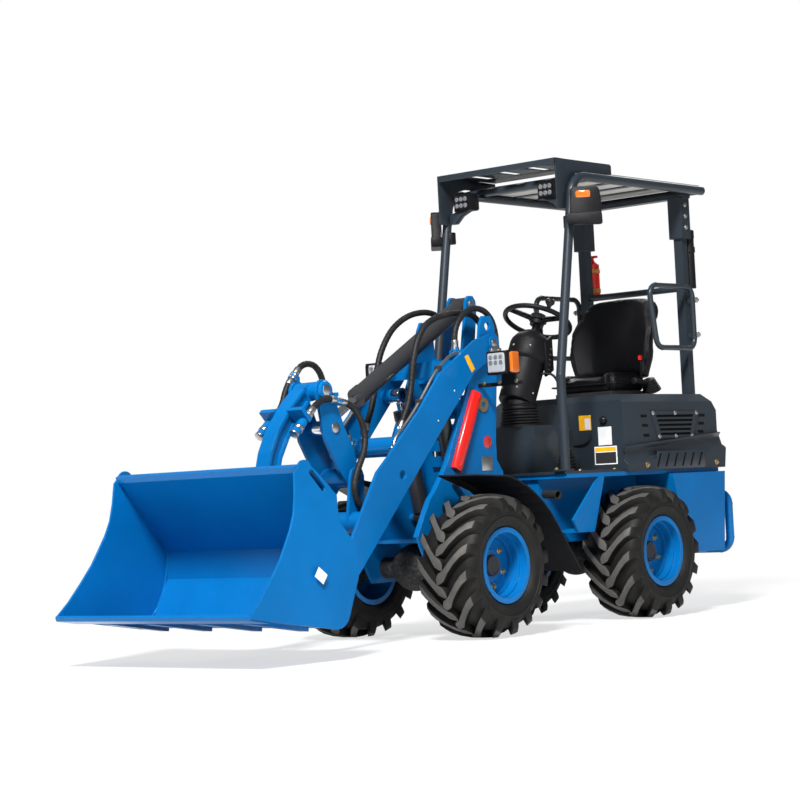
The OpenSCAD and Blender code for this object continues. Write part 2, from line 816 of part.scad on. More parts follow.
module barrel(base, head, y, r, length, eye_half) {
    difference() {
        union() {
            side_rod(base, head, y, r, 30, length);
            side_rod(base, head, y, r + 5, length - 46, length);
            y_bar(base, cyl_pin_r + 16, y - eye_half, y + eye_half);
        }
        side_rod(base, head, y, r - barrel_wall, 60, length - 40);
        side_rod(base, head, y, rod_r + run_gap, 60, length + 1);
        y_bar(base, cyl_pin_r + run_gap, y - eye_half - 1, y + eye_half + 1);
    }
}

module rod(base, head, y, start) {
    side_rod(base, head, y, rod_r, start, norm(head - base) - 20);
    difference() {
        y_bar(head, cyl_pin_r + 16, y - rod_eye_w / 2, y + rod_eye_w / 2);
        y_bar(head, cyl_pin_r, y - rod_eye_w / 2 - 1, y + rod_eye_w / 2 + 1);
    }
}

module lift_barrels() {
    color(black)
        place()
            both_sides()
                barrel(lift_base, lift_head, barrel_y, lift_barrel_r, lift_barrel_len, 30);
}

module lift_rods() {
    color(steel)
        place()
            both_sides()
                rod(lift_base, lift_head, barrel_y, 100);
}

module tilt_barrel() {
    color(black)
        place()
            barrel(tilt_pin, rocker_mid, 0, tilt_barrel_r, tilt_barrel_len, tilt_ear_y - side_gap);
}

module tilt_rod() {
    color(steel)
        place()
            rod(tilt_pin, rocker_mid, 0, 480);
}

module rear_frame() {
    inner = rail_y - 15;
    under = deck_z - 20;
    arch = axle_z + axle_radius + seat_gap;
    step_z = 448;
    color(blue)
        place() {
            both_plates(inner, rail_y)
                polygon([[-62, axle_z], [-62, under], [-1005, under], [-1005, axle_z + 90],
                    [rear_x - 123, axle_z + 70], [rear_x - 103, arch], [rear_x + 103, arch],
                    [rear_x + 127, axle_z + 70], [-260, axle_z + 70], [-140, axle_z]]);
            block([-77, -inner - sink, axle_z], [-62, inner + sink, under]);
            block([-1005, -inner - sink, axle_z + 90], [-990, inner + sink, under]);
            block([-1385, -deck_half_w, under], [-40, deck_half_w, deck_z]);
            both_plates(deck_half_w - 12, deck_half_w)
                polygon([[-350, under + sink], [-300, under + sink], [-72, step_z + 64], [-115, step_z],
                    [-245, step_z]]);
            both_sides()
                block([-245, rail_y - sink, step_z], [-115, deck_half_w, step_z + 12]);
            for (z = [axle_z, axle_z + 300]) {
                block([-70, -60, z], [0, 60, z + 25]);
                translate([0, 0, z])
                    cylinder(r = 60, h = 25);
            }
            translate([0, 0, axle_z + 1])
                cylinder(r = 30, h = 323);
        }
}

module counterweight() {
    color(blue)
        place()
            difference() {
                side_plate(-weight_half_w, weight_half_w)
                    polygon([[-893, weight_top], [-1012, 306], weight_foot, [weight_head_x, weight_top]]);
                block([-1006, -rail_y - 1, 200], [-800, rail_y + 1, weight_top + 1]);
            }
}

module rear_bumper() {
    half = weight_half_w - 50;
    low = 304;
    high = 600;
    bend = 60;
    stub_r = bumper_tube_r - 4;
    color(blue)
        place() {
            translate([bumper_x, 0, 0])
                rotate([0, 0, 90])
                    bent_tube([[-half, low], [half, low], [half, high], [-half, high]], 0, bend,
                        bumper_tube_r, true);
            for (y = [-half + 150, half - 150], z = [low, high])
                tube([bumper_x, y, z], [weight_face(z) - seat_gap, y, z], stub_r);
        }
}

module engine() {
    color(grey)
        place()
            block([-1280, -240, deck_z + seat_gap], [-760, 240, hood_top_z - 65]);
}

// The hood's solid form, shrunk by an inset, with its long top edges cut off at 45 degrees.
module hood_form(inset) {
    top = hood_top_z - inset;
    half = hood_half_w - inset;
    cut = 42 - 0.586 * inset;
    difference() {
        side_plate(-half, half)
            polygon([[-530 - inset, deck_z], [-530 - inset, top - 30], [-550 - inset, top],
                [-1307 + inset, top], [-1385 + inset, deck_z + 302], [-1385 + inset, deck_z + 196],
                [-1430 + inset, deck_z + 110], [-1412 + inset, deck_z]]);
        both_sides()
            translate([-1600, half, top - cut])
                rotate([45, 0, 0])
                    cube([1200, 200, 200]);
    }
}

module hood() {
    skirt_top = [deck_z + 122, deck_z + 186];
    out = hood_half_w + skirt_out;
    color(grey)
        place()
            translate([0, 0, seat_gap]) {
                difference() {
                    hood_form(0);
                    translate([0, 0, -0.01])
                        hood_form(hood_sheet);
                }
                difference() {
                    both_plates(hood_half_w - sink, out)
                        polygon([[-530, deck_z], [-508, skirt_top[0]], [-1380, skirt_top[1]], [-1430, deck_z + 110],
                            [-1412, deck_z]]);
                    both_sides()
                        skirt_slits(out);
                    both_sides()
                        translate([-1600, out, skirt_top[0] - 8])
                            rotate([0, -atan2(skirt_top[0] - skirt_top[1], 872), 0])
                                rotate([45, 0, 0])
                                    cube([1300, 60, 60]);
                }
                both_sides()
                    grille();
            }
}

// Six slanted slits in a skirt.
module skirt_slits(out) {
    for (i = [0 : 5])
        translate([-800 - 76 * i, out, deck_z + 50])
            rotate([0, 24, 0])
                block([-8, -14, -42], [8, 10, 42]);
}

// The side grille: a plate, narrower at the bottom, with level slots that follow its slanted ends.
module grille() {
    mid = -984;
    top = deck_z + 299;
    rows = 5;
    pitch = 23;
    half_top = 212;
    half_low = 161;
    depth = 138;
    difference() {
        side_plate(hood_half_w - sink, hood_half_w + 8)
            polygon([[mid + half_top, top], [mid - half_top, top], [mid - half_low, top - depth],
                [mid + half_low, top - depth]]);
        for (i = [0 : rows - 1]) {
            z = top - 18 - pitch * i;
            half = half_top - 34 - (half_top - half_low) * (18 + pitch * i) / depth;
            block([mid - half, hood_half_w + 2, z - 13], [mid + half, hood_half_w + 10, z]);
        }
    }
}

module floor_deck() {
    color(grey)
        place()
            block([-528, -deck_half_w, deck_z + seat_gap], [-30, deck_half_w, deck_z + 15]);
}

module console_base() {
    top = deck_z + 250;
    color(grey)
        place()
            side_plate(-140, 140)
                polygon([[-150, floor_z], [-150, top], [-318, top], [-352, top - 70], [-318, floor_z]]);
}

module console_column() {
    base_top = deck_z + 250 + seat_gap;
    rings = 6;
    ring_h = (column_foot[1] - base_top) / rings;
    color(black)
        place() {
            for (i = [0 : rings - 1])
                translate([-225, 0, base_top + i * ring_h])
                    cylinder(r1 = 92, r2 = 80, h = ring_h + sink);
            along(column_foot, column_top, 0) {
                translate([0, 0, -24])
                    cylinder(r = 64, h = 0.55 * column_len + 24);
                translate([0, 0, 0.53 * column_len])
                    cylinder(r1 = 86, r2 = 58, h = 0.3 * column_len);
                cylinder(r = 20, h = 0.95 * column_len);
            }
        }
}

module steering_wheel() {
    hub_h = 34;
    color(black)
        place()
            along(column_top, 2 * column_top - column_foot, 0) {
                rotate_extrude()
                    translate([wheel_rim_r, 0])
                        circle(r = 13);
                for (a = [90, 210, 330])
                    rotate([0, 90, a])
                        cylinder(r = 9, h = wheel_rim_r);
                translate([0, 0, -0.05 * column_len + seat_gap])
                    cylinder(r = 36, h = hub_h);
            }
}

module levers() {
    color(black)
        place()
            translate([-330, 200, floor_z]) {
                for (i = [0 : 3])
                    translate([0, 0, 28 * i])
                        cylinder(r1 = 46 - 7 * i, r2 = 40 - 7 * i, h = 29);
                cylinder(r = 8, h = 190);
                translate([0, 0, 195])
                    sphere(r = 20);
            }
}

module seat_base() {
    color(black)
        place()
            block([-1100, -180, hood_top_z + 2 * seat_gap], [-780, 180, hood_top_z + 30]);
}

module seat_cushion() {
    color(black)
        place()
            block([-1130, -seat_half_w, hood_top_z + 30 + seat_gap], [-750, seat_half_w, hood_top_z + 110]);
}

module seat_back() {
    low = hood_top_z + 110 + seat_gap;
    high = hood_top_z + 535;
    color(black)
        place()
            side_plate(-seat_half_w, seat_half_w)
                polygon([[-1020, low], [-1130, low], [-1215, high], [-1130, high]]);
}

module canopy_frame() {
    color(grey)
        place() {
            both_sides() {
                tube([post_knee[0], canopy_y, floor_z], [post_knee[0], canopy_y, post_knee[1]], tube_r);
                weld([post_knee[0], canopy_y, post_knee[1]], tube_r);
                bent_tube([post_knee, post_corner, rail_end], canopy_y, canopy_bend, tube_r);
                block([post_knee[0] - 45, canopy_y - 40, floor_z], [post_knee[0] + 45, canopy_y + 18, floor_z + 10]);
            }
            for (x = [front_bar_x, -1380])
                tube([x, -canopy_y, rail_z], [x, canopy_y, rail_z], tube_r - 3);
        }
}

module rear_posts() {
    half = rear_post_w / 2;
    foot_z = hood_top_z + 2 * seat_gap;
    top_z = rail_z - 40;
    sleeve = half + sleeve_wall;
    color(grey)
        place() {
            for (y = [-rear_post_y, rear_post_y]) {
                block([rear_post_x - half, y - half, foot_z], [rear_post_x + half, y + half, top_z]);
                block([rear_post_x - sleeve, y - sleeve, top_z - 215], [rear_post_x + sleeve, y + sleeve, top_z]);
            }
            block([rear_post_x - 30, -canopy_y + tube_r, top_z - sink], [rear_post_x + 30, canopy_y - tube_r,
                rail_z - 20]);
            tube([rear_post_x, -rear_post_y, hood_top_z + 565], [rear_post_x, rear_post_y, hood_top_z + 565], 18);
        }
}

module roof_panel() {
    color(black)
        place() {
            block([-1390, -canopy_y + 7, roof_z + seat_gap], [-400, canopy_y - 7, roof_z + 6]);
            for (i = [0 : 3])
                block([-1180 + 200 * i, -canopy_y + tube_r + 10, roof_z - 12], [-1140 + 200 * i,
                    canopy_y - tube_r - 10, roof_z + 1]);
        }
}

// The guard over the windscreen line: a slotted top, a thin front lip and sides that hug the tubes.
module header_guard() {
    front = -125;
    sheet = 6;
    tail = -603;
    off = tube_r + 1 + seat_gap;
    bend = canopy_bend + off;
    shift = [off / cos(post_lean), 0];
    leg_z = rail_z - 215;
    corner = [post_corner[0] + off * (1 - sin(post_lean)) / cos(post_lean), rail_z + off];
    hug = rounded([post_x(leg_z), leg_z] + shift, corner, [tail, rail_z + off], bend, 8);
    color(black)
        place() {
            difference() {
                block([-391, -canopy_y, header_z - sheet], [front, canopy_y, header_z]);
                for (i = [0 : 3])
                    translate([0, -345 + 170 * i, header_z - 20])
                        linear_extrude(height = 40)
                            polygon([[-345, 0], [-345, 118], [-180, 160], [-180, 42]]);
            }
            block([front - sheet, -canopy_y, header_z - 32], [front, canopy_y, header_z]);
            both_plates(canopy_y - sheet, canopy_y)
                polygon(concat([[front, header_z], [tail, header_z - 7], [tail, rail_z + off]], reversed(hug),
                    [[post_x(leg_z), leg_z] + shift, [front, leg_z]]));
        }
}

module work_lamps() {
    top_z = rail_z - tube_r + 3 - seat_gap;
    low_z = roof_z - 126;
    high_z = roof_z - 40;
    color(black)
        place()
            for (y = [-268, 268]) {
                block([-250, y - 52, low_z], [-184, y + 52, high_z]);
                block([-185, y - 44, low_z + 8], [-176, y + 44, high_z - 8]);
                block([front_bar_x - 10, y - 12, top_z - 10], [-245, y + 12, top_z]);
            }
}

module mirrors() {
    mid_z = roof_z - 183;
    arm_x = post_x(mid_z);
    in_y = canopy_y + tube_r + seat_gap;
    color(black)
        place()
            both_sides() {
                front_plate(arm_x - 62, arm_x - 12)
                    polygon(rounded_outline([[in_y + 16, mid_z - 92], [in_y + 66, mid_z - 100], [in_y + 88, mid_z + 70],
                        [in_y + 74, mid_z + 100], [in_y + 16, mid_z + 92]], 10, 3));
                block([arm_x - 20, in_y, mid_z - 12], [arm_x + 14, in_y + 22, mid_z + 12]);
            }
}

module side_guards() {
    low = hood_top_z + 242;
    high = hood_top_z + 565;
    r = 14;
    post_face = rear_post_y + rear_post_w / 2 + seat_gap;
    color(grey)
        place()
            both_sides() {
                bent_tube([[rear_post_x, low], [-940, low], [-888, high], [rear_post_x, high]], guard_y, 55, r, true);
                for (z = [low + 70, high - 70])
                    block([rear_post_x - 12, post_face, z - 12], [rear_post_x + 12, guard_y, z + 12]);
            }
}

module document_tube() {
    r = 26;
    back = rear_post_x - rear_post_w / 2 - sleeve_wall - r - seat_gap;
    color(black)
        place()
            translate([back, rear_post_y + 10, rail_z - 515])
                cylinder(r = r, h = 300);
}

module extinguisher() {
    r = 38;
    height = 190;
    back = rear_post_x - rear_post_w / 2 - r - seat_gap;
    color(red)
        place()
            translate([back, -rear_post_y, rail_z - 515]) {
                cylinder(r = r, h = height);
                translate([0, 0, height - sink])
                    cylinder(r1 = r, r2 = 15, h = 22);
                translate([0, 0, height])
                    cylinder(r = 12, h = 48);
                translate([0, 0, height + 42])
                    block([-9, -34, -6], [9, 34, 6]);
            }
}

rear_frame();
counterweight();
rear_bumper();
rear_axle();
engine();
hood();
floor_deck();
console_base();
console_column();
steering_wheel();
levers();
seat_base();
seat_cushion();
seat_back();
canopy_frame();
rear_posts();
roof_panel();
header_guard();
work_lamps();
mirrors();
side_guards();
document_tube();
extinguisher();
front_frame();
front_axle();
fenders();
head_lamps();
safety_strut();
boom();
rocker();
link();
couplers();
bucket();
lift_barrels();
lift_rods();
tilt_barrel();
tilt_rod();
tyre("fl");  // tyre_fl
rim("fl");  // rim_fl
tyre("fr");  // tyre_fr
rim("fr");  // rim_fr
tyre("rl");  // tyre_rl
rim("rl");  // rim_rl
tyre("rr");  // tyre_rr
rim("rr");  // rim_rr
hose(hose_boom_left_route);  // hose_boom_left
hose(hose_boom_right_route);  // hose_boom_right
hose(hose_arch_route);  // hose_arch
hose(hose_link_left_route);  // hose_link_left
hose(hose_link_right_route);  // hose_link_right
hose(hose_rocker_left_route);  // hose_rocker_left
hose(hose_rocker_right_route);  // hose_rocker_right
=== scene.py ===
"""Looks for a compact articulated wheel loader: finishes for its solids and the pieces that they lack."""

from __future__ import annotations

import json
import logging
import math
from dataclasses import dataclass
from enum import Enum
from typing import Any, Callable, Iterable, Sequence

import bpy
from mathutils import Matrix, Vector

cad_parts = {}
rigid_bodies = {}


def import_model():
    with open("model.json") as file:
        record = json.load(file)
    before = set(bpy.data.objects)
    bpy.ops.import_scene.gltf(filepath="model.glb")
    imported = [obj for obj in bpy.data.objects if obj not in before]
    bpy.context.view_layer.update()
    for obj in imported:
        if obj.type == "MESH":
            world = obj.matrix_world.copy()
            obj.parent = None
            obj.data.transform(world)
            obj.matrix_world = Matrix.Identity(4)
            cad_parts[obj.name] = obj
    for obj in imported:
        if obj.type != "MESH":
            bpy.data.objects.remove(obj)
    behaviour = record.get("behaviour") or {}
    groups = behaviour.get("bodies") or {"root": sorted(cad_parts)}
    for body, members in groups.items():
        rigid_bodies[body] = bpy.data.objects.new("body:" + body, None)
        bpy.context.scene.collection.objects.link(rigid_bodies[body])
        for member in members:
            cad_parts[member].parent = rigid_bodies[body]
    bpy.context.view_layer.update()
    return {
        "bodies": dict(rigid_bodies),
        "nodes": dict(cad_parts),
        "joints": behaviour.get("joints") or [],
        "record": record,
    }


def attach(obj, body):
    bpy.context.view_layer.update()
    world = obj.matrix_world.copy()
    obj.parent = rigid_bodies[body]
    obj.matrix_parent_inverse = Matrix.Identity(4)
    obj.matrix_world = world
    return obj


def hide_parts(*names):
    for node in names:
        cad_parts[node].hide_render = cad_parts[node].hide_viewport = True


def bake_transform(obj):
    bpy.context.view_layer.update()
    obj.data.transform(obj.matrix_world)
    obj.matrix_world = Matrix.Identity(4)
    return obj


LOG = logging.getLogger("loader")
WHEELBASE_SHIFT = 435.0
SMOOTH_ANGLE = math.radians(35)
HOSE_SMOOTH_ANGLE = math.radians(50)
ROAD_DUST = (0.23, 0.2, 0.17)
WHITE = (1, 1, 1, 1)
SKY_TINT = (0.92, 0.96, 1.0, 1)
LEFT = Vector((0, 1, 0))
FORWARD = Vector((1, 0, 0))
UP = Vector((0, 0, 1))
Color = tuple[float, float, float]
Pair = tuple[float, float]
Triple = tuple[float, float, float]
Spot = tuple[Vector, Vector]
Object = bpy.types.Object


class Body(str, Enum):
    """The moving bodies that pieces ride on, apart from the wheels."""

    REAR = "rear_chassis"
    FRONT = "front_chassis"
    BOOM = "boom_arm"
    ROCKER = "rocker_arm"
    LINK = "link_arm"
    BUCKET = "bucket_tool"


class Side(Enum):
    """Left and right of the machine, as the sign of y."""

    LEFT = 1
    RIGHT = -1

    @property
    def label(self) -> str:
        """Returns the side's name as pieces use it."""
        return self.name.lower()

    @property
    def out(self) -> Vector:
        """Returns the direction away from the machine's middle."""
        return LEFT * self.value


def at(x: float, y: float, z: float) -> Vector:
    """Turns a place in millimetres from the wheelbase's middle into metres in the part's frame.

    Args:
        x: Forward.
        y: To the driver's left.
        z: Up from the ground.

    Returns:
        The place in metres.
    """
    return Vector(((x - WHEELBASE_SHIFT) / 1000, y / 1000, z / 1000))


# Shader nodes


class Wire:
    """A shader socket that takes part in Python arithmetic."""

    def __init__(self, kit: NodeKit, socket: bpy.types.NodeSocket | None) -> None:
        self.kit = kit
        self.socket = socket

    def _math(self, operation: str, first: Any, second: Any) -> Wire:
        """Adds one Math node and returns its value."""
        return self.kit.node("ShaderNodeMath", {"operation": operation}, {0: first, 1: second})

    def __add__(self, other: Any) -> Wire:
        """Returns self + other."""
        return self._math("ADD", self, other)

    __radd__ = __add__

    def __sub__(self, other: Any) -> Wire:
        """Returns self - other."""
        return self._math("SUBTRACT", self, other)

    def __rsub__(self, other: Any) -> Wire:
        """Returns other - self."""
        return self._math("SUBTRACT", other, self)

    def __mul__(self, other: Any) -> Wire:
        """Returns self * other."""
        return self._math("MULTIPLY", self, other)

    __rmul__ = __mul__

    def between(self, low: float, high: float) -> Wire:
        """Returns 0 below low, 1 above high and a smooth step between them."""
        return self.kit.node(
            "ShaderNodeMapRange",
            {"interpolation_type": "SMOOTHSTEP"},
            {"Value": self, "From Min": low, "From Max": high},
        )


class NodeKit:
    """The node tree of one material or world and the one method that adds to it."""

    def __init__(self, owner: bpy.types.Material | bpy.types.World) -> None:
        """Starts with an empty tree."""
        owner.use_nodes = True
        self.owner = owner
        self.tree = owner.node_tree
        self.tree.nodes.clear()

    def node(self, kind: str, settings: dict | None = None, sockets: dict | None = None, out: Any = 0) -> Wire:
        """Adds a node.

        Args:
            kind: The node's type.
            settings: Its properties.
            sockets: Values or wires for its inputs.
            out: The output to hand back.

        Returns:
            The output as a wire.
        """
        made = self.tree.nodes.new(kind)
        for key, value in (settings or {}).items():
            setattr(made, key, value)
        for key, value in (sockets or {}).items():
            if isinstance(value, Wire):
                self.tree.links.new(value.socket, made.inputs[key])
            else:
                made.inputs[key].default_value = value
        return Wire(self, made.outputs[out] if made.outputs else None)

    def place(self, scale: Triple = (1, 1, 1)) -> Wire:
        """Returns the place on the object, stretched by a scale."""
        spot = self.node("ShaderNodeTexCoord", out="Object")
        if scale == (1, 1, 1):
            return spot
        return self.node("ShaderNodeMapping", {}, {"Vector": spot, "Scale": scale})

    def noise(self, spot: Wire, scale: float, detail: float = 3, rough: float = 0.55) -> Wire:
        """Returns a noise value from 0 to 1."""
        sockets = {"Vector": spot, "Scale": scale, "Detail": detail, "Roughness": rough}
        return self.node("ShaderNodeTexNoise", {}, sockets)

    def cells(self, spot: Wire, scale: float, feature: str = "F1") -> Wire:
        """Returns the distance in a cell pattern."""
        return self.node("ShaderNodeTexVoronoi", {"feature": feature}, {"Vector": spot, "Scale": scale})

    def waves(self, spot: Wire, axis: str, scale: float) -> Wire:
        """Returns even ribs across one axis."""
        settings = {"wave_type": "BANDS", "bands_direction": axis, "wave_profile": "SIN"}
        return self.node("ShaderNodeTexWave", settings, {"Vector": spot, "Scale": scale, "Distortion": 0.0}, "Fac")

    def rays(self, kind: str) -> Wire:
        """Returns 1 for one kind of ray and 0 for the others."""
        return self.node("ShaderNodeLightPath", out=kind)

    def mix(self, factor: Any, first: Any, second: Any) -> Wire:
        """Returns a colour between two colours."""
        sockets = {"Factor": factor, 6: self._rgba(first), 7: self._rgba(second)}
        return self.node("ShaderNodeMix", {"data_type": "RGBA"}, sockets, out=2)

    @staticmethod
    def _rgba(color: Any) -> Any:
        """Adds the alpha to a plain colour."""
        return color if isinstance(color, Wire) else (*color, 1)

    def rounded(self, radius: float) -> tuple[Wire, Wire]:
        """Rounds the edges in the shading.

        Args:
            radius: The rounding's radius in metres.

        Returns:
            The rounded normal and a mask that is high along edges.
        """
        normal = self.node("ShaderNodeBevel", {"samples": 4}, {"Radius": radius})
        flat = self.node("ShaderNodeNewGeometry", out="Normal")
        same = self.node("ShaderNodeVectorMath", {"operation": "DOT_PRODUCT"}, {0: normal, 1: flat}, out="Value")
        return normal, (1 - same).between(0.02, 0.25)

    def bump(self, height: Wire, distance: float, normal: Wire | None = None, strength: float = 1.0) -> Wire:
        """Returns a normal raised by a height."""
        sockets: dict = {"Height": height, "Distance": distance, "Strength": strength}
        if normal is not None:
            sockets["Normal"] = normal
        return self.node("ShaderNodeBump", {}, sockets)

    def surface(self, sockets: dict) -> bpy.types.Material:
        """Ends the material with a Principled shader and returns it."""
        shader = self.node("ShaderNodeBsdfPrincipled", {}, sockets)
        self.node("ShaderNodeOutputMaterial", {}, {"Surface": shader})
        return self.owner


def new_kit(name: str) -> NodeKit:
    """Starts a new material."""
    return NodeKit(bpy.data.materials.new(name))


def scaled(color: Color, factor: float) -> Color:
    """Returns a colour made brighter or darker by a factor."""
    return tuple(min(1.0, c * factor) for c in color)


# Finishes


@dataclass(frozen=True)
class Enamel:
    """Sprayed enamel on steel: faint orange peel, edges lightened partly as rubbed wear and partly as a painted
    highlight, and a little settled dust.
    """

    name: str
    color: Color
    roughness: float = 0.3
    coat: float = 0.35
    edge: float = 0.0025
    rubbed: Color = (0.55, 0.6, 0.65)
    rub: float = 0.02
    dust: float = 0.02
    gloss: float = 0.35

    def make(self) -> bpy.types.Material:
        """Builds the material."""
        kit = new_kit(self.name)
        spot = kit.place()
        cloud = kit.noise(spot, 2.2, 4)
        grit = kit.noise(spot, 60, 3, 0.65)
        normal, edge = kit.rounded(self.edge)
        tone = kit.mix(cloud.between(0.3, 0.7), scaled(self.color, 0.9), scaled(self.color, 1.07))
        # Edges lightened towards the rubbed tone: partly paint wear, partly a painted edge highlight.
        wear_and_sheen = edge * grit.between(0.42, 0.7) * self.rub
        tone = kit.mix(wear_and_sheen, tone, self.rubbed)
        height = kit.node("ShaderNodeSeparateXYZ", {}, {0: spot}, out="Z")
        settled = (1 - height.between(0.0, 0.9)) * grit.between(0.4, 0.75) * self.dust
        tone = kit.mix(settled, tone, ROAD_DUST)
        peel = kit.noise(spot, 260, 2)
        return kit.surface({
            "Base Color": tone,
            "Roughness": self.roughness + 0.03 * (grit - 0.5) + 0.5 * settled + 0.2 * wear_and_sheen,
            "Coat Weight": self.coat,
            "Coat Roughness": 0.12,
            "Specular IOR Level": self.gloss,
            "Normal": kit.bump(peel, 0.00003, normal, 0.15),
        })


@dataclass(frozen=True)
class Rubber:
    """Moulded rubber: matt, a little dusty in patches, with its edges greyed as a painted highlight."""

    name: str
    color: Color
    # The dust colour, also used for the painted edge highlight.
    dust: Color
    amount: float
    roughness: float = 0.55

    def make(self) -> bpy.types.Material:
        """Builds the material."""
        kit = new_kit(self.name)
        spot = kit.place()
        cloud = kit.noise(spot, 9, 5, 0.6)
        grit = kit.noise(spot, 150, 3, 0.7)
        normal, edge = kit.rounded(0.002)
        # Dust in patches, plus a painted highlight: edges greyed towards the dust colour.
        dust_and_sheen = (0.55 * cloud.between(0.45, 0.75) + 0.6 * edge) * self.amount * (0.6 + 0.6 * grit)
        return kit.surface({
            "Base Color": kit.mix(dust_and_sheen, self.color, self.dust),
            "Roughness": self.roughness + 0.2 * (cloud - 0.5) + 0.15 * dust_and_sheen,
            "Specular IOR Level": 0.2,
            "Normal": kit.bump(grit + 0.4 * cloud, 0.0006, normal, 0.6),
        })


@dataclass(frozen=True)
class Moulding:
    """Grained plastic, or vinyl where the grain is larger, or film where it is fine."""

    name: str
    color: Color
    grain: float = 700
    depth: float = 0.0002
    roughness: float = 0.42

    def make(self) -> bpy.types.Material:
        """Builds the material."""
        kit = new_kit(self.name)
        spot = kit.place()
        cloud = kit.noise(spot, 7, 4)
        pores = kit.cells(spot, self.grain, "DISTANCE_TO_EDGE")
        normal, edge = kit.rounded(0.002)
        tone = kit.mix(cloud.between(0.3, 0.75), self.color, scaled(self.color, 1.6))
        return kit.surface({
            # Edges brightened: a painted highlight.
            "Base Color": kit.mix(0.2 * edge, tone, scaled(self.color, 3)),
            "Roughness": self.roughness + 0.16 * (cloud - 0.5),
            "Specular IOR Level": 0.18,
            "Normal": kit.bump(pores.between(0.0, 0.12), self.depth, normal, 0.7),
        })


@dataclass(frozen=True)
class Metal:
    """Bare metal: drawn lines along one direction, or the mottle of a zinc coat."""

    name: str
    color: Color
    roughness: float
    lines: Triple
    mottle: float

    def make(self) -> bpy.types.Material:
        """Builds the material."""
        kit = new_kit(self.name)
        drawn = kit.noise(kit.place(self.lines), 120, 3, 0.6)
        spangle = kit.cells(kit.place(), 160)
        normal, edge = kit.rounded(0.0012)
        tone = kit.mix(spangle.between(0.1, 0.7) * self.mottle, self.color, scaled(self.color, 0.6))
        return kit.surface({
            # Edges brightened: a painted highlight.
            "Base Color": kit.mix(0.4 * edge, tone, scaled(self.color, 1.3)),
            "Metallic": 1.0,
            "Roughness": self.roughness + 0.2 * (drawn - 0.5) + 0.1 * self.mottle * spangle,
            "Normal": kit.bump(drawn, 0.0001, normal, 0.4),
        })


@dataclass(frozen=True)
class Lens:
    """A lamp's lens or a lamp cell, with the ribs moulded into it."""

    name: str
    color: Color
    ribs: float = 160
    roughness: float = 0.12
    metallic: float = 0.0

    def make(self) -> bpy.types.Material:
        """Builds the material."""
        kit = new_kit(self.name)
        spot = kit.place()
        prisms = kit.waves(spot, "Y", self.ribs) * kit.waves(spot, "Z", self.ribs * 0.6)
        return kit.surface({
            "Base Color": kit.mix(prisms, scaled(self.color, 0.55), scaled(self.color, 1.1)),
            "Metallic": self.metallic,
            "Roughness": self.roughness,
            "Coat Weight": 1.0,
            "Coat Roughness": 0.04,
            "Normal": kit.bump(prisms, 0.0015, None, 0.7),
        })


class Finish(Enum):
    """Every finish on the machine."""

    BLUE = Enamel("blue_enamel", (0.0006, 0.126, 0.37), 0.25, 0.06, gloss=0.2)
    GREY = Enamel("grey_powder_coat", (0.021, 0.029, 0.038), 0.36, 0.1, rubbed=(0.3, 0.32, 0.35))
    BLACK = Enamel("black_paint", (0.0012, 0.0016, 0.003), 0.15, 0.0, rub=0.0, dust=0.0, gloss=0.07)
    RED = Enamel("red_enamel", (0.72, 0.012, 0.008), rubbed=(0.85, 0.5, 0.45), dust=0.03)
    CAST = Enamel("cast_black", (0.012, 0.012, 0.013), 0.6, 0.0, rubbed=(0.15, 0.14, 0.13), dust=0.35)
    PALE = Enamel("pale_lining", (0.55, 0.54, 0.5), 0.6, 0.0, rubbed=(0.7, 0.7, 0.7), dust=0.0)
    TYRE = Rubber("tyre_rubber", (0.010, 0.0095, 0.009), (0.05, 0.043, 0.036), 0.4)
    # Paler rubber for the lugs' outer faces: a painted highlight on the lug tops.
    TREAD = Rubber("tread_rubber", (0.075, 0.071, 0.066), (0.2, 0.18, 0.16), 0.7, 0.5)
    SOFT_RUBBER = Rubber("boot_rubber", (0.012, 0.012, 0.013), (0.06, 0.06, 0.06), 0.25, 0.5)
    SLEEVE = Rubber("hose_sleeve", (0.014, 0.014, 0.015), (0.09, 0.085, 0.08), 0.45, 0.5)
    PLASTIC = Moulding("black_moulding", (0.005, 0.005, 0.006))
    GLOSS = Moulding("gloss_moulding", (0.01, 0.01, 0.011), 500, 0.00005, 0.22)
    VINYL = Moulding("seat_vinyl", (0.003, 0.003, 0.004), 420, 0.0003, 0.34)
    CHROME = Metal("chrome_rod", (0.75, 0.76, 0.78), 0.1, (0.05, 1, 1), 0.05)
    STEEL = Metal("bare_steel", (0.5, 0.5, 0.5), 0.32, (1, 0.1, 1), 0.15)
    ZINC = Metal("zinc_plate", (0.62, 0.61, 0.58), 0.3, (1, 1, 1), 0.5)
    YELLOW_ZINC = Metal("yellow_zinc", (0.62, 0.48, 0.26), 0.34, (1, 1, 1), 0.6)
    CLEAR = Lens("clear_lens", (0.6, 0.63, 0.66))
    CELL = Lens("lamp_cell", (0.22, 0.23, 0.25))
    AMBER = Lens("amber_lens", (0.95, 0.2, 0.006), 130)
    RED_LENS = Lens("red_lens", (0.6, 0.01, 0.008), 130)
    MIRROR = Lens("mirror_glass", (0.85, 0.87, 0.9), 1, 0.03, 1.0)
    STRAP = Moulding("tan_strap", (0.36, 0.2, 0.05), 900, 0.0003, 0.6)
    WHITE_FILM = Moulding("white_film", (0.62, 0.62, 0.63), 900, 0.00002, 0.35)
    # Flat black for openings: painted shade standing in for the shade inside vents and slits.
    VOID = Moulding("dark_opening", (0.001, 0.001, 0.001), 900, 0.00001, 0.9)
    YELLOW_FILM = Moulding("yellow_film", (0.78, 0.36, 0.01), 900, 0.00002, 0.35)

    def material(self) -> bpy.types.Material:
        """Returns the finish's material, made the first time that it is asked for."""
        found = bpy.data.materials.get(self.value.name)
        return found or self.value.make()


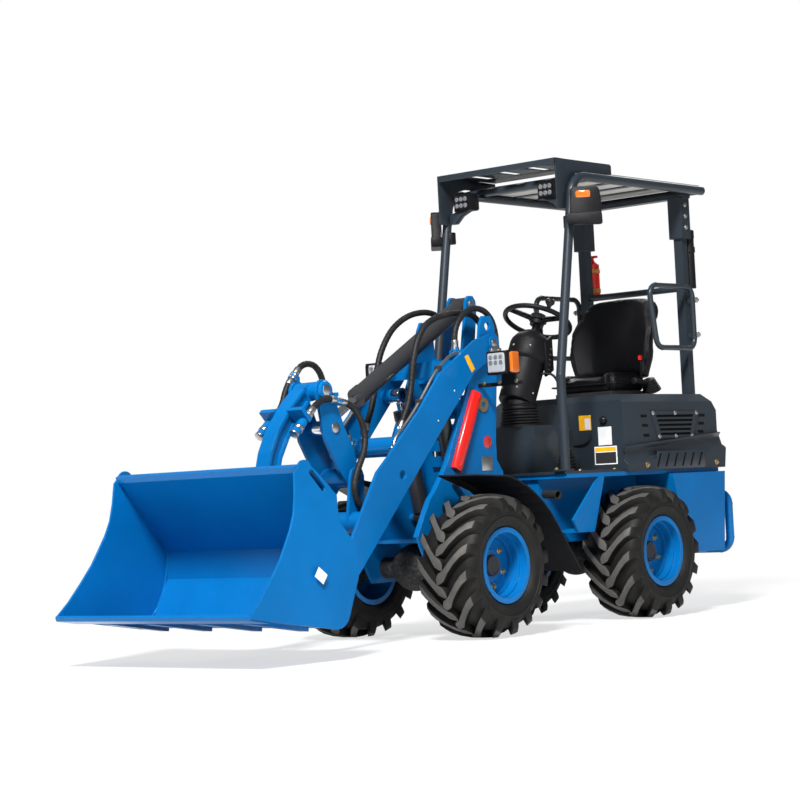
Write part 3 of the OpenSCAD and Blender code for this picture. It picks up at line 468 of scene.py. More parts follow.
NODE_FINISH: dict[Finish, tuple[str, ...]] = {
    Finish.BLUE: (
        "rear_frame", "counterweight", "rear_bumper", "front_frame", "boom", "rocker", "link", "couplers", "bucket",
        "rim_fl", "rim_fr", "rim_rl", "rim_rr",
    ),
    Finish.GREY: ("hood", "floor_deck", "console_base", "canopy_frame", "rear_posts", "side_guards"),
    Finish.BLACK: ("roof_panel", "lift_barrels", "tilt_barrel", "seat_base"),
    Finish.PLASTIC: (
        "fenders", "console_column", "levers", "work_lamps", "head_lamps", "document_tube", "steering_wheel",
    ),
    Finish.CAST: ("front_axle", "rear_axle", "engine"),
    Finish.CHROME: ("lift_rods", "tilt_rod"),
    Finish.RED: ("extinguisher",),
}


# Modelling


class Bench:
    """Models pieces with Blender's own operators."""

    @staticmethod
    def clear() -> None:
        """Goes to object mode with nothing selected."""
        if bpy.context.mode != "OBJECT":
            bpy.ops.object.mode_set(mode="OBJECT")
        bpy.ops.object.select_all(action="DESELECT")

    @staticmethod
    def pick(obj: Object) -> Object:
        """Makes one object the only selected and active one."""
        Bench.clear()
        obj.select_set(True)
        bpy.context.view_layer.objects.active = obj
        return obj

    @staticmethod
    def edit(obj: Object) -> None:
        """Opens a piece in edit mode with all of it selected."""
        Bench.pick(obj)
        bpy.ops.object.mode_set(mode="EDIT")
        bpy.ops.mesh.select_all(action="SELECT")

    @staticmethod
    def face_out() -> None:
        """Turns every face of the piece in edit mode outward and leaves edit mode."""
        bpy.ops.mesh.select_all(action="SELECT")
        bpy.ops.mesh.normals_make_consistent(inside=False)
        bpy.ops.object.mode_set(mode="OBJECT")

    @staticmethod
    def label(obj: Object, name: str) -> Object:
        """Names a piece and its mesh."""
        obj.name = name
        obj.data.name = name
        return obj

    @staticmethod
    def settle(name: str) -> Object:
        """Names the active object and moves its place into its mesh."""
        obj = Bench.label(bpy.context.active_object, name)
        bpy.ops.object.transform_apply(location=True, rotation=True, scale=True)
        return obj

    @staticmethod
    def round_edges(obj: Object, width: float, segments: int = 2, angle: float = 30) -> Object:
        """Bevels the sharp edges in edit mode.

        Args:
            obj: The piece.
            width: The bevel's width in metres.
            segments: Steps across the bevel.
            angle: Edges sharper than this many degrees are bevelled.

        Returns:
            The piece.
        """
        Bench.pick(obj)
        bpy.ops.object.mode_set(mode="EDIT")
        bpy.ops.mesh.select_mode(type="EDGE")
        bpy.ops.mesh.select_all(action="DESELECT")
        bpy.ops.mesh.edges_select_sharp(sharpness=math.radians(angle))
        bpy.ops.mesh.bevel(offset=width, segments=segments, affect="EDGES", clamp_overlap=True)
        bpy.ops.object.mode_set(mode="OBJECT")
        return obj

    @staticmethod
    def cube(name: str, low: Vector, high: Vector) -> Object:
        """Adds a plain block between two corners."""
        Bench.clear()
        bpy.ops.mesh.primitive_cube_add(size=1, location=(low + high) / 2, scale=high - low)
        return Bench.settle(name)

    @staticmethod
    def block(name: str, low: Vector, high: Vector, bevel: float = 0.003, segments: int = 2) -> Object:
        """Adds a block between two corners with rounded edges."""
        return Bench.round_edges(Bench.cube(name, low, high), bevel, segments)

    @staticmethod
    def side_block(
        name: str, side: Side, x: Pair, y: Pair, z: Pair, bevel: float = 0.003, segments: int = 2
    ) -> Object:
        """Adds a block on one side from its limits in millimetres, with y counted outward."""
        low, high = sorted(limit * side.value for limit in y)
        return Bench.block(name, at(x[0], low, z[0]), at(x[1], high, z[1]), bevel, segments)

    @staticmethod
    def rod(
        name: str, start: Vector, end: Vector, radius: float, tip: float | None = None, sides: int = 28,
        bevel: float = 0.0015,
    ) -> Object:
        """Adds a rod or cone between two points with rounded rims."""
        Bench.clear()
        line = end - start
        bpy.ops.mesh.primitive_cone_add(
            vertices=sides,
            radius1=radius,
            radius2=radius if tip is None else tip,
            depth=line.length,
            location=(start + end) / 2,
            rotation=line.to_track_quat("Z", "Y").to_euler(),
        )
        return Bench.round_edges(Bench.settle(name), bevel)

    @staticmethod
    def turned(name: str, profile: Sequence[Pair], foot: Vector, axis: Vector, steps: int = 48) -> Object:
        """Spins a profile of (radius, height) pairs about an axis.

        Args:
            name: The piece's name.
            profile: The outline from one end to the other.
            foot: Where height 0 lies.
            axis: The direction of growing height.
            steps: Steps round the axis.

        Returns:
            The piece.
        """
        chain = [(i, i + 1) for i in range(len(profile) - 1)]
        obj = Bench.from_points(name, [(r, 0, h) for r, h in profile], [], chain)
        Bench.edit(obj)
        bpy.ops.mesh.spin(steps=steps, angle=math.tau, center=(0, 0, 0), axis=(0, 0, 1))
        bpy.ops.mesh.select_all(action="SELECT")
        bpy.ops.mesh.remove_doubles(threshold=0.00005)
        Bench.face_out()
        turn = axis.to_track_quat("Z", "Y").to_matrix().to_4x4()
        obj.data.transform(Matrix.Translation(foot) @ turn)
        return obj

    @staticmethod
    def button(name: str, radii: Pair, heights: Triple, spot: Vector, out: Vector) -> Object:
        """Turns a pin's face: its flat's and its rim's radius, and the heights of its top, rim and foot."""
        (flat, rim), (top, shoulder, foot) = radii, heights
        profile = [(0.0, top), (flat, top), (rim, shoulder), (rim, foot), (0.0, foot)]
        return Bench.turned(name, profile, spot, out, 32)

    @staticmethod
    def from_points(
        name: str, points: Sequence[Sequence[float]], faces: Sequence[Sequence[int]],
        edges: Sequence[tuple[int, int]] = (),
    ) -> Object:
        """Makes an object from points, for outlines, lofts and hoses."""
        mesh = bpy.data.meshes.new(name)
        mesh.from_pydata([tuple(p) for p in points], list(edges), [list(f) for f in faces])
        mesh.update()
        obj = bpy.data.objects.new(name, mesh)
        bpy.context.scene.collection.objects.link(obj)
        return obj

    @staticmethod
    def plate(name: str, outline: Sequence[Vector], depth: Vector, bevel: float = 0.002) -> Object:
        """Extrudes a flat outline by a depth and rounds its edges."""
        obj = Bench.from_points(name, outline, [range(len(outline))])
        Bench.edit(obj)
        bpy.ops.mesh.extrude_region_move(TRANSFORM_OT_translate={"value": depth})
        Bench.face_out()
        return Bench.round_edges(obj, bevel)

    @staticmethod
    def side_plate(name: str, outline: Sequence[Pair], y: float, thick: float, bevel: float) -> Object:
        """Extrudes an outline of (x, z) pairs sideways from y, all in millimetres but the thickness and bevel."""
        return Bench.plate(name, [at(x, y, z) for x, z in outline], Vector((0, thick, 0)), bevel)

    @staticmethod
    def copied(model: Object, name: str, place: Matrix) -> Object:
        """Copies a piece with a mesh of its own to a place."""
        mesh = model.data.copy()
        mesh.transform(place)
        if place.determinant() < 0:
            mesh.flip_normals()
        obj = bpy.data.objects.new(name, mesh)
        bpy.context.scene.collection.objects.link(obj)
        return obj

    @staticmethod
    def joined(name: str, parts: Sequence[Object]) -> Object:
        """Joins pieces into one."""
        Bench.pick(parts[0])
        for part in parts:
            part.select_set(True)
        bpy.ops.object.join()
        return Bench.label(bpy.context.active_object, name)

    @staticmethod
    def cut(obj: Object, tool: Object) -> Object:
        """Cuts one piece out of another and removes the tool."""
        Bench.pick(obj)
        modifier = obj.modifiers.new("cut", "BOOLEAN")
        modifier.operation = "DIFFERENCE"
        modifier.object = tool
        modifier.solver = "EXACT"
        bpy.ops.object.modifier_apply(modifier=modifier.name)
        bpy.data.objects.remove(tool)
        return obj

    @staticmethod
    def paint(obj: Object, finish: Finish) -> Object:
        """Gives a piece one finish all over."""
        obj.data.materials.clear()
        obj.data.materials.append(finish.material())
        return obj

    @staticmethod
    def carry(obj: Object, body: str, smooth: bool = True) -> Object:
        """Shades a piece, sets the body that it rides on and logs it."""
        Bench.pick(obj)
        if smooth:
            bpy.ops.object.shade_smooth_by_angle(angle=SMOOTH_ANGLE)
        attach(obj, str(body.value if isinstance(body, Enum) else body))
        LOG.info("piece %s, %d faces", obj.name, len(obj.data.polygons))
        return obj


class Route:
    """A smooth line through points, and tubes along it."""

    def __init__(self, points: Sequence[Vector], step: float) -> None:
        """Samples a smooth curve through the points, a step apart or about that."""
        self.samples: list[Vector] = []
        last = len(points) - 1
        for i in range(last):
            a, b = points[max(i - 1, 0)], points[i]
            c, d = points[i + 1], points[min(i + 2, last)]
            count = max(2, round((c - b).length / step))
            self.samples += [self._curve(a, b, c, d, k / count) for k in range(count)]
        self.samples.append(points[last])

    @staticmethod
    def _curve(a: Vector, b: Vector, c: Vector, d: Vector, t: float) -> Vector:
        """Returns a point between b and c on a Catmull-Rom curve."""
        return 0.5 * (
            2 * b + (c - a) * t + (2 * a - 5 * b + 4 * c - d) * t * t + (3 * b - a - 3 * c + d) * t * t * t
        )

    def length(self) -> float:
        """Returns the line's length."""
        return sum((q - p).length for p, q in zip(self.samples, self.samples[1:]))

    def tube(self, name: str, radius: Callable[[float, float], float], sides: int) -> Object:
        """Makes a closed tube along the line.

        Args:
            name: The piece's name.
            radius: The radius for a length along the line and a turn round it.
            sides: Sides of the tube.

        Returns:
            The piece.
        """
        points: list[Vector] = []
        run = 0.0
        side = LEFT
        count = len(self.samples)
        for i, middle in enumerate(self.samples):
            ahead = (self.samples[min(i + 1, count - 1)] - self.samples[max(i - 1, 0)]).normalized()
            side = (side - ahead * side.dot(ahead)).normalized()
            other = ahead.cross(side)
            if i:
                run += (middle - self.samples[i - 1]).length
            for k in range(sides):
                turn = k / sides
                reach = radius(run, turn)
                angle = math.tau * turn
                points.append(middle + reach * (math.cos(angle) * side + math.sin(angle) * other))
        walls = [
            (i * sides + k, i * sides + (k + 1) % sides, (i + 1) * sides + (k + 1) % sides, (i + 1) * sides + k)
            for i in range(count - 1)
            for k in range(sides)
        ]
        caps = [tuple(range(sides))[::-1], tuple((count - 1) * sides + k for k in range(sides))]
        obj = Bench.from_points(name, points, walls + caps)
        Bench.edit(obj)
        Bench.face_out()
        return obj

    def pipe(self, name: str, radius: float, sides: int = 10) -> Object:
        """Makes a closed tube of one radius along the line."""
        return self.tube(name, lambda run, turn: radius, sides)


class Hardware:
    """Bolts, nuts and domes: each is modelled once and copied."""

    _models: dict[str, Object] = {}

    @classmethod
    def _model(cls, kind: str) -> Object:
        """Returns the model of a kind at the origin, for a radius of 1 m, pointing up."""
        if kind in cls._models:
            return cls._models[kind]
        if kind == "dome":
            profile = [(0.0, 0.62), (0.35, 0.58), (0.7, 0.42), (0.93, 0.18), (1.0, 0.0), (1.0, -0.3), (0.0, -0.3)]
            obj = Bench.turned("model_dome", profile, Vector(), UP, 20)
        else:
            head = Bench.rod("model_head", -0.1 * UP, 0.75 * UP, 1.0, sides=6, bevel=0.09)
            washer = Bench.rod("model_washer", -0.3 * UP, 0.16 * UP, 1.35, sides=20, bevel=0.05)
            obj = Bench.joined("model_" + kind, [head, washer])
            if kind == "nut":
                stud = Bench.rod("model_stud", Vector(), 1.15 * UP, 0.55, sides=12, bevel=0.06)
                obj = Bench.joined("model_" + kind, [obj, stud])
        bpy.context.scene.collection.objects.unlink(obj)
        cls._models[kind] = obj
        return obj

    @classmethod
    def place(cls, name: str, kind: str, spots: Iterable[Spot], radius: float) -> Object:
        """Puts copies of one model at several spots as one piece.

        Args:
            name: The piece's name.
            kind: dome, bolt or nut.
            spots: A point and an outward direction for each copy.
            radius: The head's radius in metres.

        Returns:
            The piece.
        """
        model = cls._model(kind)
        parts = []
        for point, out in spots:
            turn = Vector(out).to_track_quat("Z", "Y").to_matrix().to_4x4()
            parts.append(Bench.copied(model, name, Matrix.Translation(point) @ turn @ Matrix.Scale(radius, 4)))
        return Bench.joined(name, parts)


def mirrored(spots: Sequence[Spot]) -> list[Spot]:
    """Returns spots of the left side together with those of the right."""
    flip = Vector((1, -1, 1))
    return list(spots) + [(point * flip, out * flip) for point, out in spots]


def boot_profile(ribs: int, wide: float, taper: float, pitch: float, crest: float, fold: float) -> list[Pair]:
    """Returns the outline of a ribbed boot that narrows upward.

    Args:
        ribs: How many ribs it has.
        wide: The lowest rib's radius.
        taper: How much narrower each next rib is.
        pitch: The height of a rib.
        crest: The height of a rib's flat crest.
        fold: The height at which a rib has folded in.

    Returns:
        Pairs of radius and height.
    """
    outline: list[Pair] = [(0.0, 0.0)]
    for i in range(ribs):
        reach, low = wide - taper * i, pitch * i
        outline += [(reach, low), (reach, low + crest), (reach - 0.011, low + fold)]
    return outline + [(0.0, pitch * ribs)]


# Sub-assemblies


class Assembly:
    """A sub-assembly whose pieces ride on one body unless another is named."""

    BODY: Any = Body.REAR

    def add(self, obj: Object, finish: Finish, body: str | None = None, smooth: bool = True) -> Object:
        """Gives a piece its finish and its body."""
        return Bench.carry(Bench.paint(obj, finish), body or self.BODY, smooth)

    def group(self, name: str, parts: Sequence[Object], finish: Finish, body: str | None = None) -> Object:
        """Adds several pieces as one."""
        return self.add(Bench.joined(name, parts), finish, body)

    def bolts(
        self, name: str, kind: str, spots: Iterable[Spot], radius: float, finish: Finish, body: str | None = None
    ) -> Object:
        """Adds bolts, nuts or domes at several spots as one piece."""
        return self.add(Hardware.place(name, kind, spots, radius), finish, body)


@dataclass
class Camera:
    """The photograph's viewpoint."""

    place: Triple = (8.4856, 7.0017, 0.6873)
    yaw: float = 220.4033
    pitch: float = 2.29982
    roll: float = -2.87643
    lens: float = 103.24

    def build(self) -> None:
        """Adds the camera and makes it the scene's."""
        yaw, pitch, roll = (math.radians(a) for a in (self.yaw, self.pitch, self.roll))
        ahead = Vector((math.cos(yaw) * math.cos(pitch), math.sin(yaw) * math.cos(pitch), math.sin(pitch)))
        right = ahead.cross(UP).normalized()
        over = right.cross(ahead)
        side = right * math.cos(roll) + over * math.sin(roll)
        top = over * math.cos(roll) - right * math.sin(roll)
        data = bpy.data.cameras.new("camera")
        data.sensor_width = 36
        data.lens = self.lens
        data.clip_end = 200
        camera = bpy.data.objects.new("camera", data)
        bpy.context.scene.collection.objects.link(camera)
        turn = Matrix((side, top, -ahead)).transposed().to_4x4()
        camera.matrix_world = Matrix.Translation(Vector(self.place)) @ turn
        bpy.context.scene.camera = camera


@dataclass
class HoseRun:
    """One wrapped hose: its solid, its two bodies and its route in millimetres."""

    node: str
    first: Body
    second: Body
    route: tuple[Triple, ...]


@dataclass
class Hoses(Assembly):
    """The hydraulic hoses over the boom, sleeved in a spiral wrap."""

    diameter: float = 0.030
    pitch: float = 0.024
    groove: float = 0.0016

    RUNS = (
        HoseRun("hose_boom_left", Body.FRONT, Body.BOOM, (
            (164, 110, 1288), (164, 110, 1340), (166, 110, 1395), (176, 110, 1447), (206, 110, 1491),
            (250, 110, 1521), (304, 110, 1532), (380, 110, 1530), (462, 110, 1520), (545, 110, 1500),
            (615, 110, 1465), (664, 110, 1412), (698, 110, 1345), (721, 110, 1265), (740, 110, 1175),
            (766, 110, 1095), (798, 110, 1040), (830, 110, 985))),
        HoseRun("hose_boom_right", Body.FRONT, Body.BOOM, (
            (164, -110, 1288), (164, -110, 1345), (168, -110, 1405), (182, -110, 1462), (214, -110, 1510),
            (260, -110, 1540), (315, -110, 1553), (380, -110, 1552), (455, -110, 1538), (530, -110, 1508),
            (600, -110, 1462), (655, -110, 1402), (697, -110, 1335), (726, -110, 1255), (748, -110, 1172),
            (772, -110, 1100), (800, -110, 1040), (830, -110, 985))),
        HoseRun("hose_arch", Body.BOOM, Body.FRONT, (
            (449, 150, 1362), (449, 150, 1410), (431, 150, 1462), (388, 150, 1511), (327, 150, 1545),
            (262, 150, 1552), (202, 150, 1536), (157, 150, 1496), (134, 150, 1440), (129, 150, 1375),
            (129, 150, 1288))),
        HoseRun("hose_link_left", Body.LINK, Body.ROCKER, (
            (1441, 105, 1057), (1411, 105, 1083), (1378, 105, 1104), (1342, 105, 1117), (1304, 105, 1120),
            (1266, 105, 1114))),
        HoseRun("hose_link_right", Body.LINK, Body.ROCKER, (
            (1441, -105, 1057), (1411, -105, 1083), (1387, -105, 1118), (1369, -105, 1160),
            (1347, -105, 1197), (1322, -105, 1222))),
        HoseRun("hose_rocker_left", Body.ROCKER, Body.BOOM, (
            (1234, 105, 1109), (1196, 105, 1103), (1150, 108, 1078), (1117, 114, 1034), (1100, 121, 980),
            (1104, 128, 924), (1128, 136, 872), (1162, 140, 822), (1191, 140, 770), (1205, 140, 718),
            (1191, 140, 665), (1152, 140, 627), (1100, 140, 613), (1048, 140, 627), (1009, 140, 665),
            (995, 140, 712), (984, 140, 772), (958, 140, 830), (925, 140, 880))),
        HoseRun("hose_rocker_right", Body.ROCKER, Body.BOOM, (
            (1298, -105, 1246), (1284, -105, 1260), (1246, -107, 1286), (1199, -111, 1295),
            (1152, -117, 1286), (1113, -123, 1258), (1090, -128, 1222), (1072, -133, 1172),
            (1048, -137, 1122), (1016, -140, 1074), (980, -140, 1028), (942, -140, 984), (905, -140, 940))),
    )

    def _reach(self, run: float, turn: float) -> float:
        """Returns the wrap's radius at a length along the hose and a turn round it."""
        wave = (run / self.pitch + turn) % 1.0
        dip = max(0.0, 1 - abs(wave - 0.5) / 0.14)
        return self.diameter / 2 - self.groove * dip

    def build(self) -> None:
        for run in self.RUNS:
            points = [at(*p) for p in run.route]
            line = Route(points, 0.004)
            obj = Bench.paint(line.tube(run.node + "_sleeve", self._reach, 16), Finish.SLEEVE)
            Bench.pick(obj)
            bpy.ops.object.shade_smooth_by_angle(angle=HOSE_SMOOTH_ANGLE)
            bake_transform(obj)
            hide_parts(run.node)
            line.length()
            LOG.info("hose %s, %.3f m", obj.name, line.length())
        self._fittings()

    def _fittings(self) -> None:
        """Adds a swaged ferrule and a hex at each hose's end."""
        ferrules: dict[str, list[Object]] = {}
        for run in self.RUNS:
            points = [at(*p) for p in run.route]
            ends = ((points[0], points[1], run.first), (points[-1], points[-2], run.second))
            for here, inward, body in ends:
                way = (here - inward).normalized()
                collar = Bench.rod("ferrule", here - 0.034 * way, here + 0.002 * way, 0.0172, bevel=0.002)
                hexa = Bench.rod("hex", here + 0.001 * way, here + 0.016 * way, 0.0225, sides=6, bevel=0.002)
                ferrules.setdefault(body.value, []).extend((collar, hexa))
        for body, parts in ferrules.items():
            self.group("hose_fittings_" + body, parts, Finish.ZINC, body)


@dataclass
class Tyres(Assembly):
    """The farm tyres with their chevron lugs, and the wheels' small parts."""

    radius: float = 0.330
    lug_height: float = 0.036
    half_width: float = 0.155
    bead_radius: float = 0.160
    bead_half: float = 0.1227
    lugs: int = 16
    lug_width: float = 0.046
    lead: float = 26.0
    wheelbase: float = 1274
    track: float = 814
    nuts: int = 6
    nut_circle: float = 0.100

    def _carcass(self) -> Object:
        """Spins the tyre's section, with rings in the sidewall."""
        base = self.radius - self.lug_height
        outer = [
            (self.bead_radius, self.bead_half), (0.176, self.bead_half), (0.183, 0.138), (0.196, 0.1475),
            (0.199, 0.1475), (0.201, 0.1495), (0.224, 0.1535), (0.2255, 0.1515), (0.229, 0.1515),
            (0.2305, 0.1545), (0.242, self.half_width - 0.0005), (0.256, 0.151), (0.268, 0.143), (0.279, 0.129),
            (0.287, 0.108), (base - 0.002, 0.075), (base, 0.04), (base + 0.001, 0.0),
        ]
        profile = outer + [(r, -h) for r, h in outer[-2::-1]]
        return Bench.turned("carcass", profile, Vector(), LEFT, 96)

    def _lug(self) -> Object:
        """Lofts one lug on the left half, from the middle line out and over the shoulder."""
        top = self.radius
        wide = self.lug_width / 2
        sections = (
            (-0.020, -2.5, top - 0.001, 0.286, 0.62), (-0.006, -0.5, top, 0.286, 1.08),
            (0.022, 2.0, top, 0.286, 1.12), (0.050, 8.0, top, 0.286, 0.92),
            (0.084, 15.0, top - 0.003, 0.283, 0.90), (0.116, 21.0, top - 0.009, 0.273, 0.95),
            (0.140, 24.5, top - 0.020, 0.256, 1.02), (0.1555, self.lead, top - 0.045, 0.243, 1.02),
        )
        points: list[Vector] = []
        for y, lead, high, low, spread in sections:
            for reach, half in ((low, wide * (spread + 0.42)), (high, wide * spread)):
                for sign in (-1, 1):
                    angle = sign * half / self.radius - math.radians(lead)
                    points.append(Vector((reach * math.sin(angle), y, reach * math.cos(angle))))
        ring = (0, 2, 3, 1)
        count = len(sections)
        faces: list[tuple[int, ...]] = [ring[::-1], tuple(4 * (count - 1) + k for k in ring)]
        for i in range(count - 1):
            for k in range(4):
                a, b = ring[k], ring[(k + 1) % 4]
                faces.append((4 * i + a, 4 * i + b, 4 * i + 4 + b, 4 * i + 4 + a))
        obj = Bench.from_points("lug", points, faces)
        Bench.edit(obj)
        Bench.face_out()
        return Bench.round_edges(obj, 0.0015, 2, 38)

    def _tyre(self) -> Object:
        """Joins the carcass with its two rows of lugs, whose outer faces are painted paler as a highlight."""
        carcass = Bench.paint(self._carcass(), Finish.TYRE)
        lug = Bench.paint(self._lug(), Finish.TREAD)
        lug.data.materials.append(Finish.TYRE.material())
        # Outward faces of the lugs take the paler rubber, a painted highlight; the rest keep the tyre rubber.
        for face in lug.data.polygons:
            outward = Vector((face.center.x, 0, face.center.z)).normalized()
            face.material_index = 0 if face.normal.dot(outward) > 0.6 else 1
        parts = [carcass]
        mirror = Matrix.Scale(-1, 4, LEFT)
        for i in range(self.lugs):
            turn = math.tau * i / self.lugs
            parts.append(Bench.copied(lug, "lug", Matrix.Rotation(turn, 4, LEFT)))
            half_step = turn + math.pi / self.lugs
            parts.append(Bench.copied(lug, "lug", Matrix.Rotation(half_step, 4, LEFT) @ mirror))
        bpy.data.objects.remove(lug)
        return Bench.joined("tyre_model", parts)

    def build(self) -> None:
        """Builds four tyres with their wheel nuts, hub caps and valves."""
        model = self._tyre()
        for axle, sign, spin in (("f", 1, 7), ("r", -1, 3)):
            for side in Side:
                name = axle + side.label[0]
                middle = at(sign * self.wheelbase / 2, side.value * self.track / 2, self.radius * 1000)
                turn = Matrix.Scale(side.value, 4, LEFT) @ Matrix.Rotation(math.radians(spin), 4, LEFT)
                tyre = Bench.copied(model, "tread_" + name, Matrix.Translation(middle) @ turn)
                Bench.carry(tyre, "wheel_" + name)
                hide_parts("tyre_" + name)
                self._wheel_parts(name, middle, side.out)
        bpy.data.objects.remove(model)

    def _wheel_parts(self, name: str, middle: Vector, out: Vector) -> None:
        """Adds the nuts, the cap and the valve of one wheel."""
        disc = middle + 0.0345 * out
        body = "wheel_" + name
        spots = []
        for i in range(self.nuts):
            angle = math.tau * (i + 0.3) / self.nuts
            spots.append((disc + self.nut_circle * Vector((math.cos(angle), 0, math.sin(angle))), out))
        self.bolts("nuts_" + name, "nut", spots, 0.0125, Finish.YELLOW_ZINC, body)
        profile = [(0.0, 0.012), (0.036, 0.012), (0.041, 0.016), (0.046, 0.016), (0.050, 0.011), (0.050, 0.0)]
        self.add(Bench.turned("cap_" + name, profile, disc + 0.0102 * out, out, 40), Finish.BLACK, body)
        low = middle + Vector((0.06, 0, -0.127)) + 0.05 * out
        valve = Bench.rod("valve_" + name, low, low + 0.045 * out + Vector((-0.006, 0, 0.012)), 0.0045, 0.0035, 12)
        self.add(valve, Finish.SOFT_RUBBER, body)


@dataclass
class Bucket(Assembly):
    """The bucket's cutting edge, weld beads and pin faces."""

    half_width: float = 587
    edge_half: float = 582
    side_lean: float = 3.8

    BODY = Body.BUCKET
    SEAM = ((2352, 222), (2200, 203), (2050, 184), (1930, 168), (1870, 163), (1820, 175), (1770, 225), (1740, 290),
            (1722, 352), (1716, 474), (1800, 570), (1900, 682), (2000, 792))

    def build(self) -> None:
        """Builds the bucket's pieces."""
        section = [(2372, 220), (2356, 226), (2262, 213), (2262, 206), (2366, 212)]
        edge = Bench.side_plate("cutting_edge", section, -self.edge_half, 2 * self.edge_half / 1000, 0.0008)
        self.add(edge, Finish.BLUE)
        lean = math.tan(math.radians(self.side_lean))
        beads, faces = [], []
        for side in Side:
            points = [at(x, (self.half_width - 12 - (z - 219) * lean) * side.value, z + 2) for x, z in self.SEAM]
            beads.append(Route(points, 0.01).tube("bead", self._bead, 8))
        self.group("bucket_welds", beads, Finish.BLUE)
        for side in Side:
            spot = at(1625, 76 * side.value, 575)
            faces.append(Bench.button("pin_face", (0.018, 0.022), (0.006, 0.003, -0.002), spot, side.out))
        self.group("bucket_pins", faces, Finish.STEEL)

    @staticmethod
    def _bead(run: float, turn: float) -> float:
        """Returns the rippled radius of a weld bead at a length along it."""
        return 0.0055 + 0.0009 * math.sin(run * 420)


@dataclass
class Boom(Assembly):
    """The steel pipes inside the boom's plates, their clamps, the pin faces and the grease nipples."""

    plate_y: float = 225
    pipe_y: float = 197
    pipe_radius: float = 0.0085

    BODY = Body.BOOM
    PIPE = ((449, 1345), (470, 1330), (530, 1322), (600, 1285), (676, 1225), (750, 1142), (830, 1058), (905, 990),
            (960, 945), (985, 905), (975, 868), (942, 872))

    def build(self) -> None:
        """Builds the boom's pieces."""
        last = len(self.PIPE) - 1
        for side in Side:
            y = self.pipe_y * side.value
            points = [at(x, y * (0.76 if i in (0, last) else 1), z) for i, (x, z) in enumerate(self.PIPE)]
            self.add(Route(points, 0.01).pipe("boom_pipe_" + side.label, self.pipe_radius, 12), Finish.ZINC)
            clamps = [
                Bench.side_block("clamp", side, (x - 14, x + 14), (183, 210), (z - 14, z + 14))
                for x, z in ((640, 1255), (790, 1098))
            ]
            self.group("pipe_clamps_" + side.label, clamps, Finish.BLACK)
        faces = []
        for side in Side:
            for x, y, z in ((1152, 116, 766), (1490, self.plate_y, 225)):
                spot = at(x, y * side.value, z)
                faces.append(Bench.button("pin_face", (0.020, 0.024), (0.008, 0.004, -0.002), spot, side.out))
        self.group("boom_pins", faces, Finish.STEEL)
        nipples = [(at(x, self.plate_y, z), LEFT) for x, z in ((560, 1150), (690, 1010), (1330, 420))]
        self.bolts("grease_nipples", "dome", mirrored(nipples), 0.006, Finish.ZINC)


@dataclass
class Linkage(Assembly):
    """Pin faces and bosses on the rocker, and the couplers' collars."""

    rocker_out: float = 86
    coupler_y: float = 105

    BODY = Body.ROCKER
    COLLARS = ((0.012, 0.0215), (0.034, 0.0195), (0.094, 0.0235), (0.103, 0.0255), (0.136, 0.024))

    def build(self) -> None:
        """Builds the linkage's pieces."""
        faces, bosses, collars = [], [], []
        ring = [(0.026, 0.0), (0.040, 0.0), (0.044, 0.004), (0.040, 0.016), (0.026, 0.018), (0.026, 0.0)]
        way = Vector((104, 0, -89)).normalized()
        for side in Side:
            for x, z, out in ((1254, 992, 0), (1318, 1160, 14)):
                spot = at(x, (self.rocker_out + out) * side.value, z)
                faces.append(Bench.button("pin_face", (0.020, 0.025), (0.007, 0.004, -0.016), spot, side.out))
        self.group("rocker_pins", faces, Finish.STEEL)
        for side in Side:
            bosses.append(Bench.turned("boss", ring, at(1318, self.rocker_out * side.value, 1160), side.out, 36))
        self.group("rocker_bosses", bosses, Finish.BLUE)
        for side in Side:
            start = at(1441, self.coupler_y * side.value, 1057)
            for share, wide in self.COLLARS:
                low, high = start + share * way, start + (share + 0.008) * way
                collars.append(Bench.rod("collar", low, high, wide, bevel=0.002))
        self.group("coupler_collars", collars, Finish.ZINC, Body.LINK)


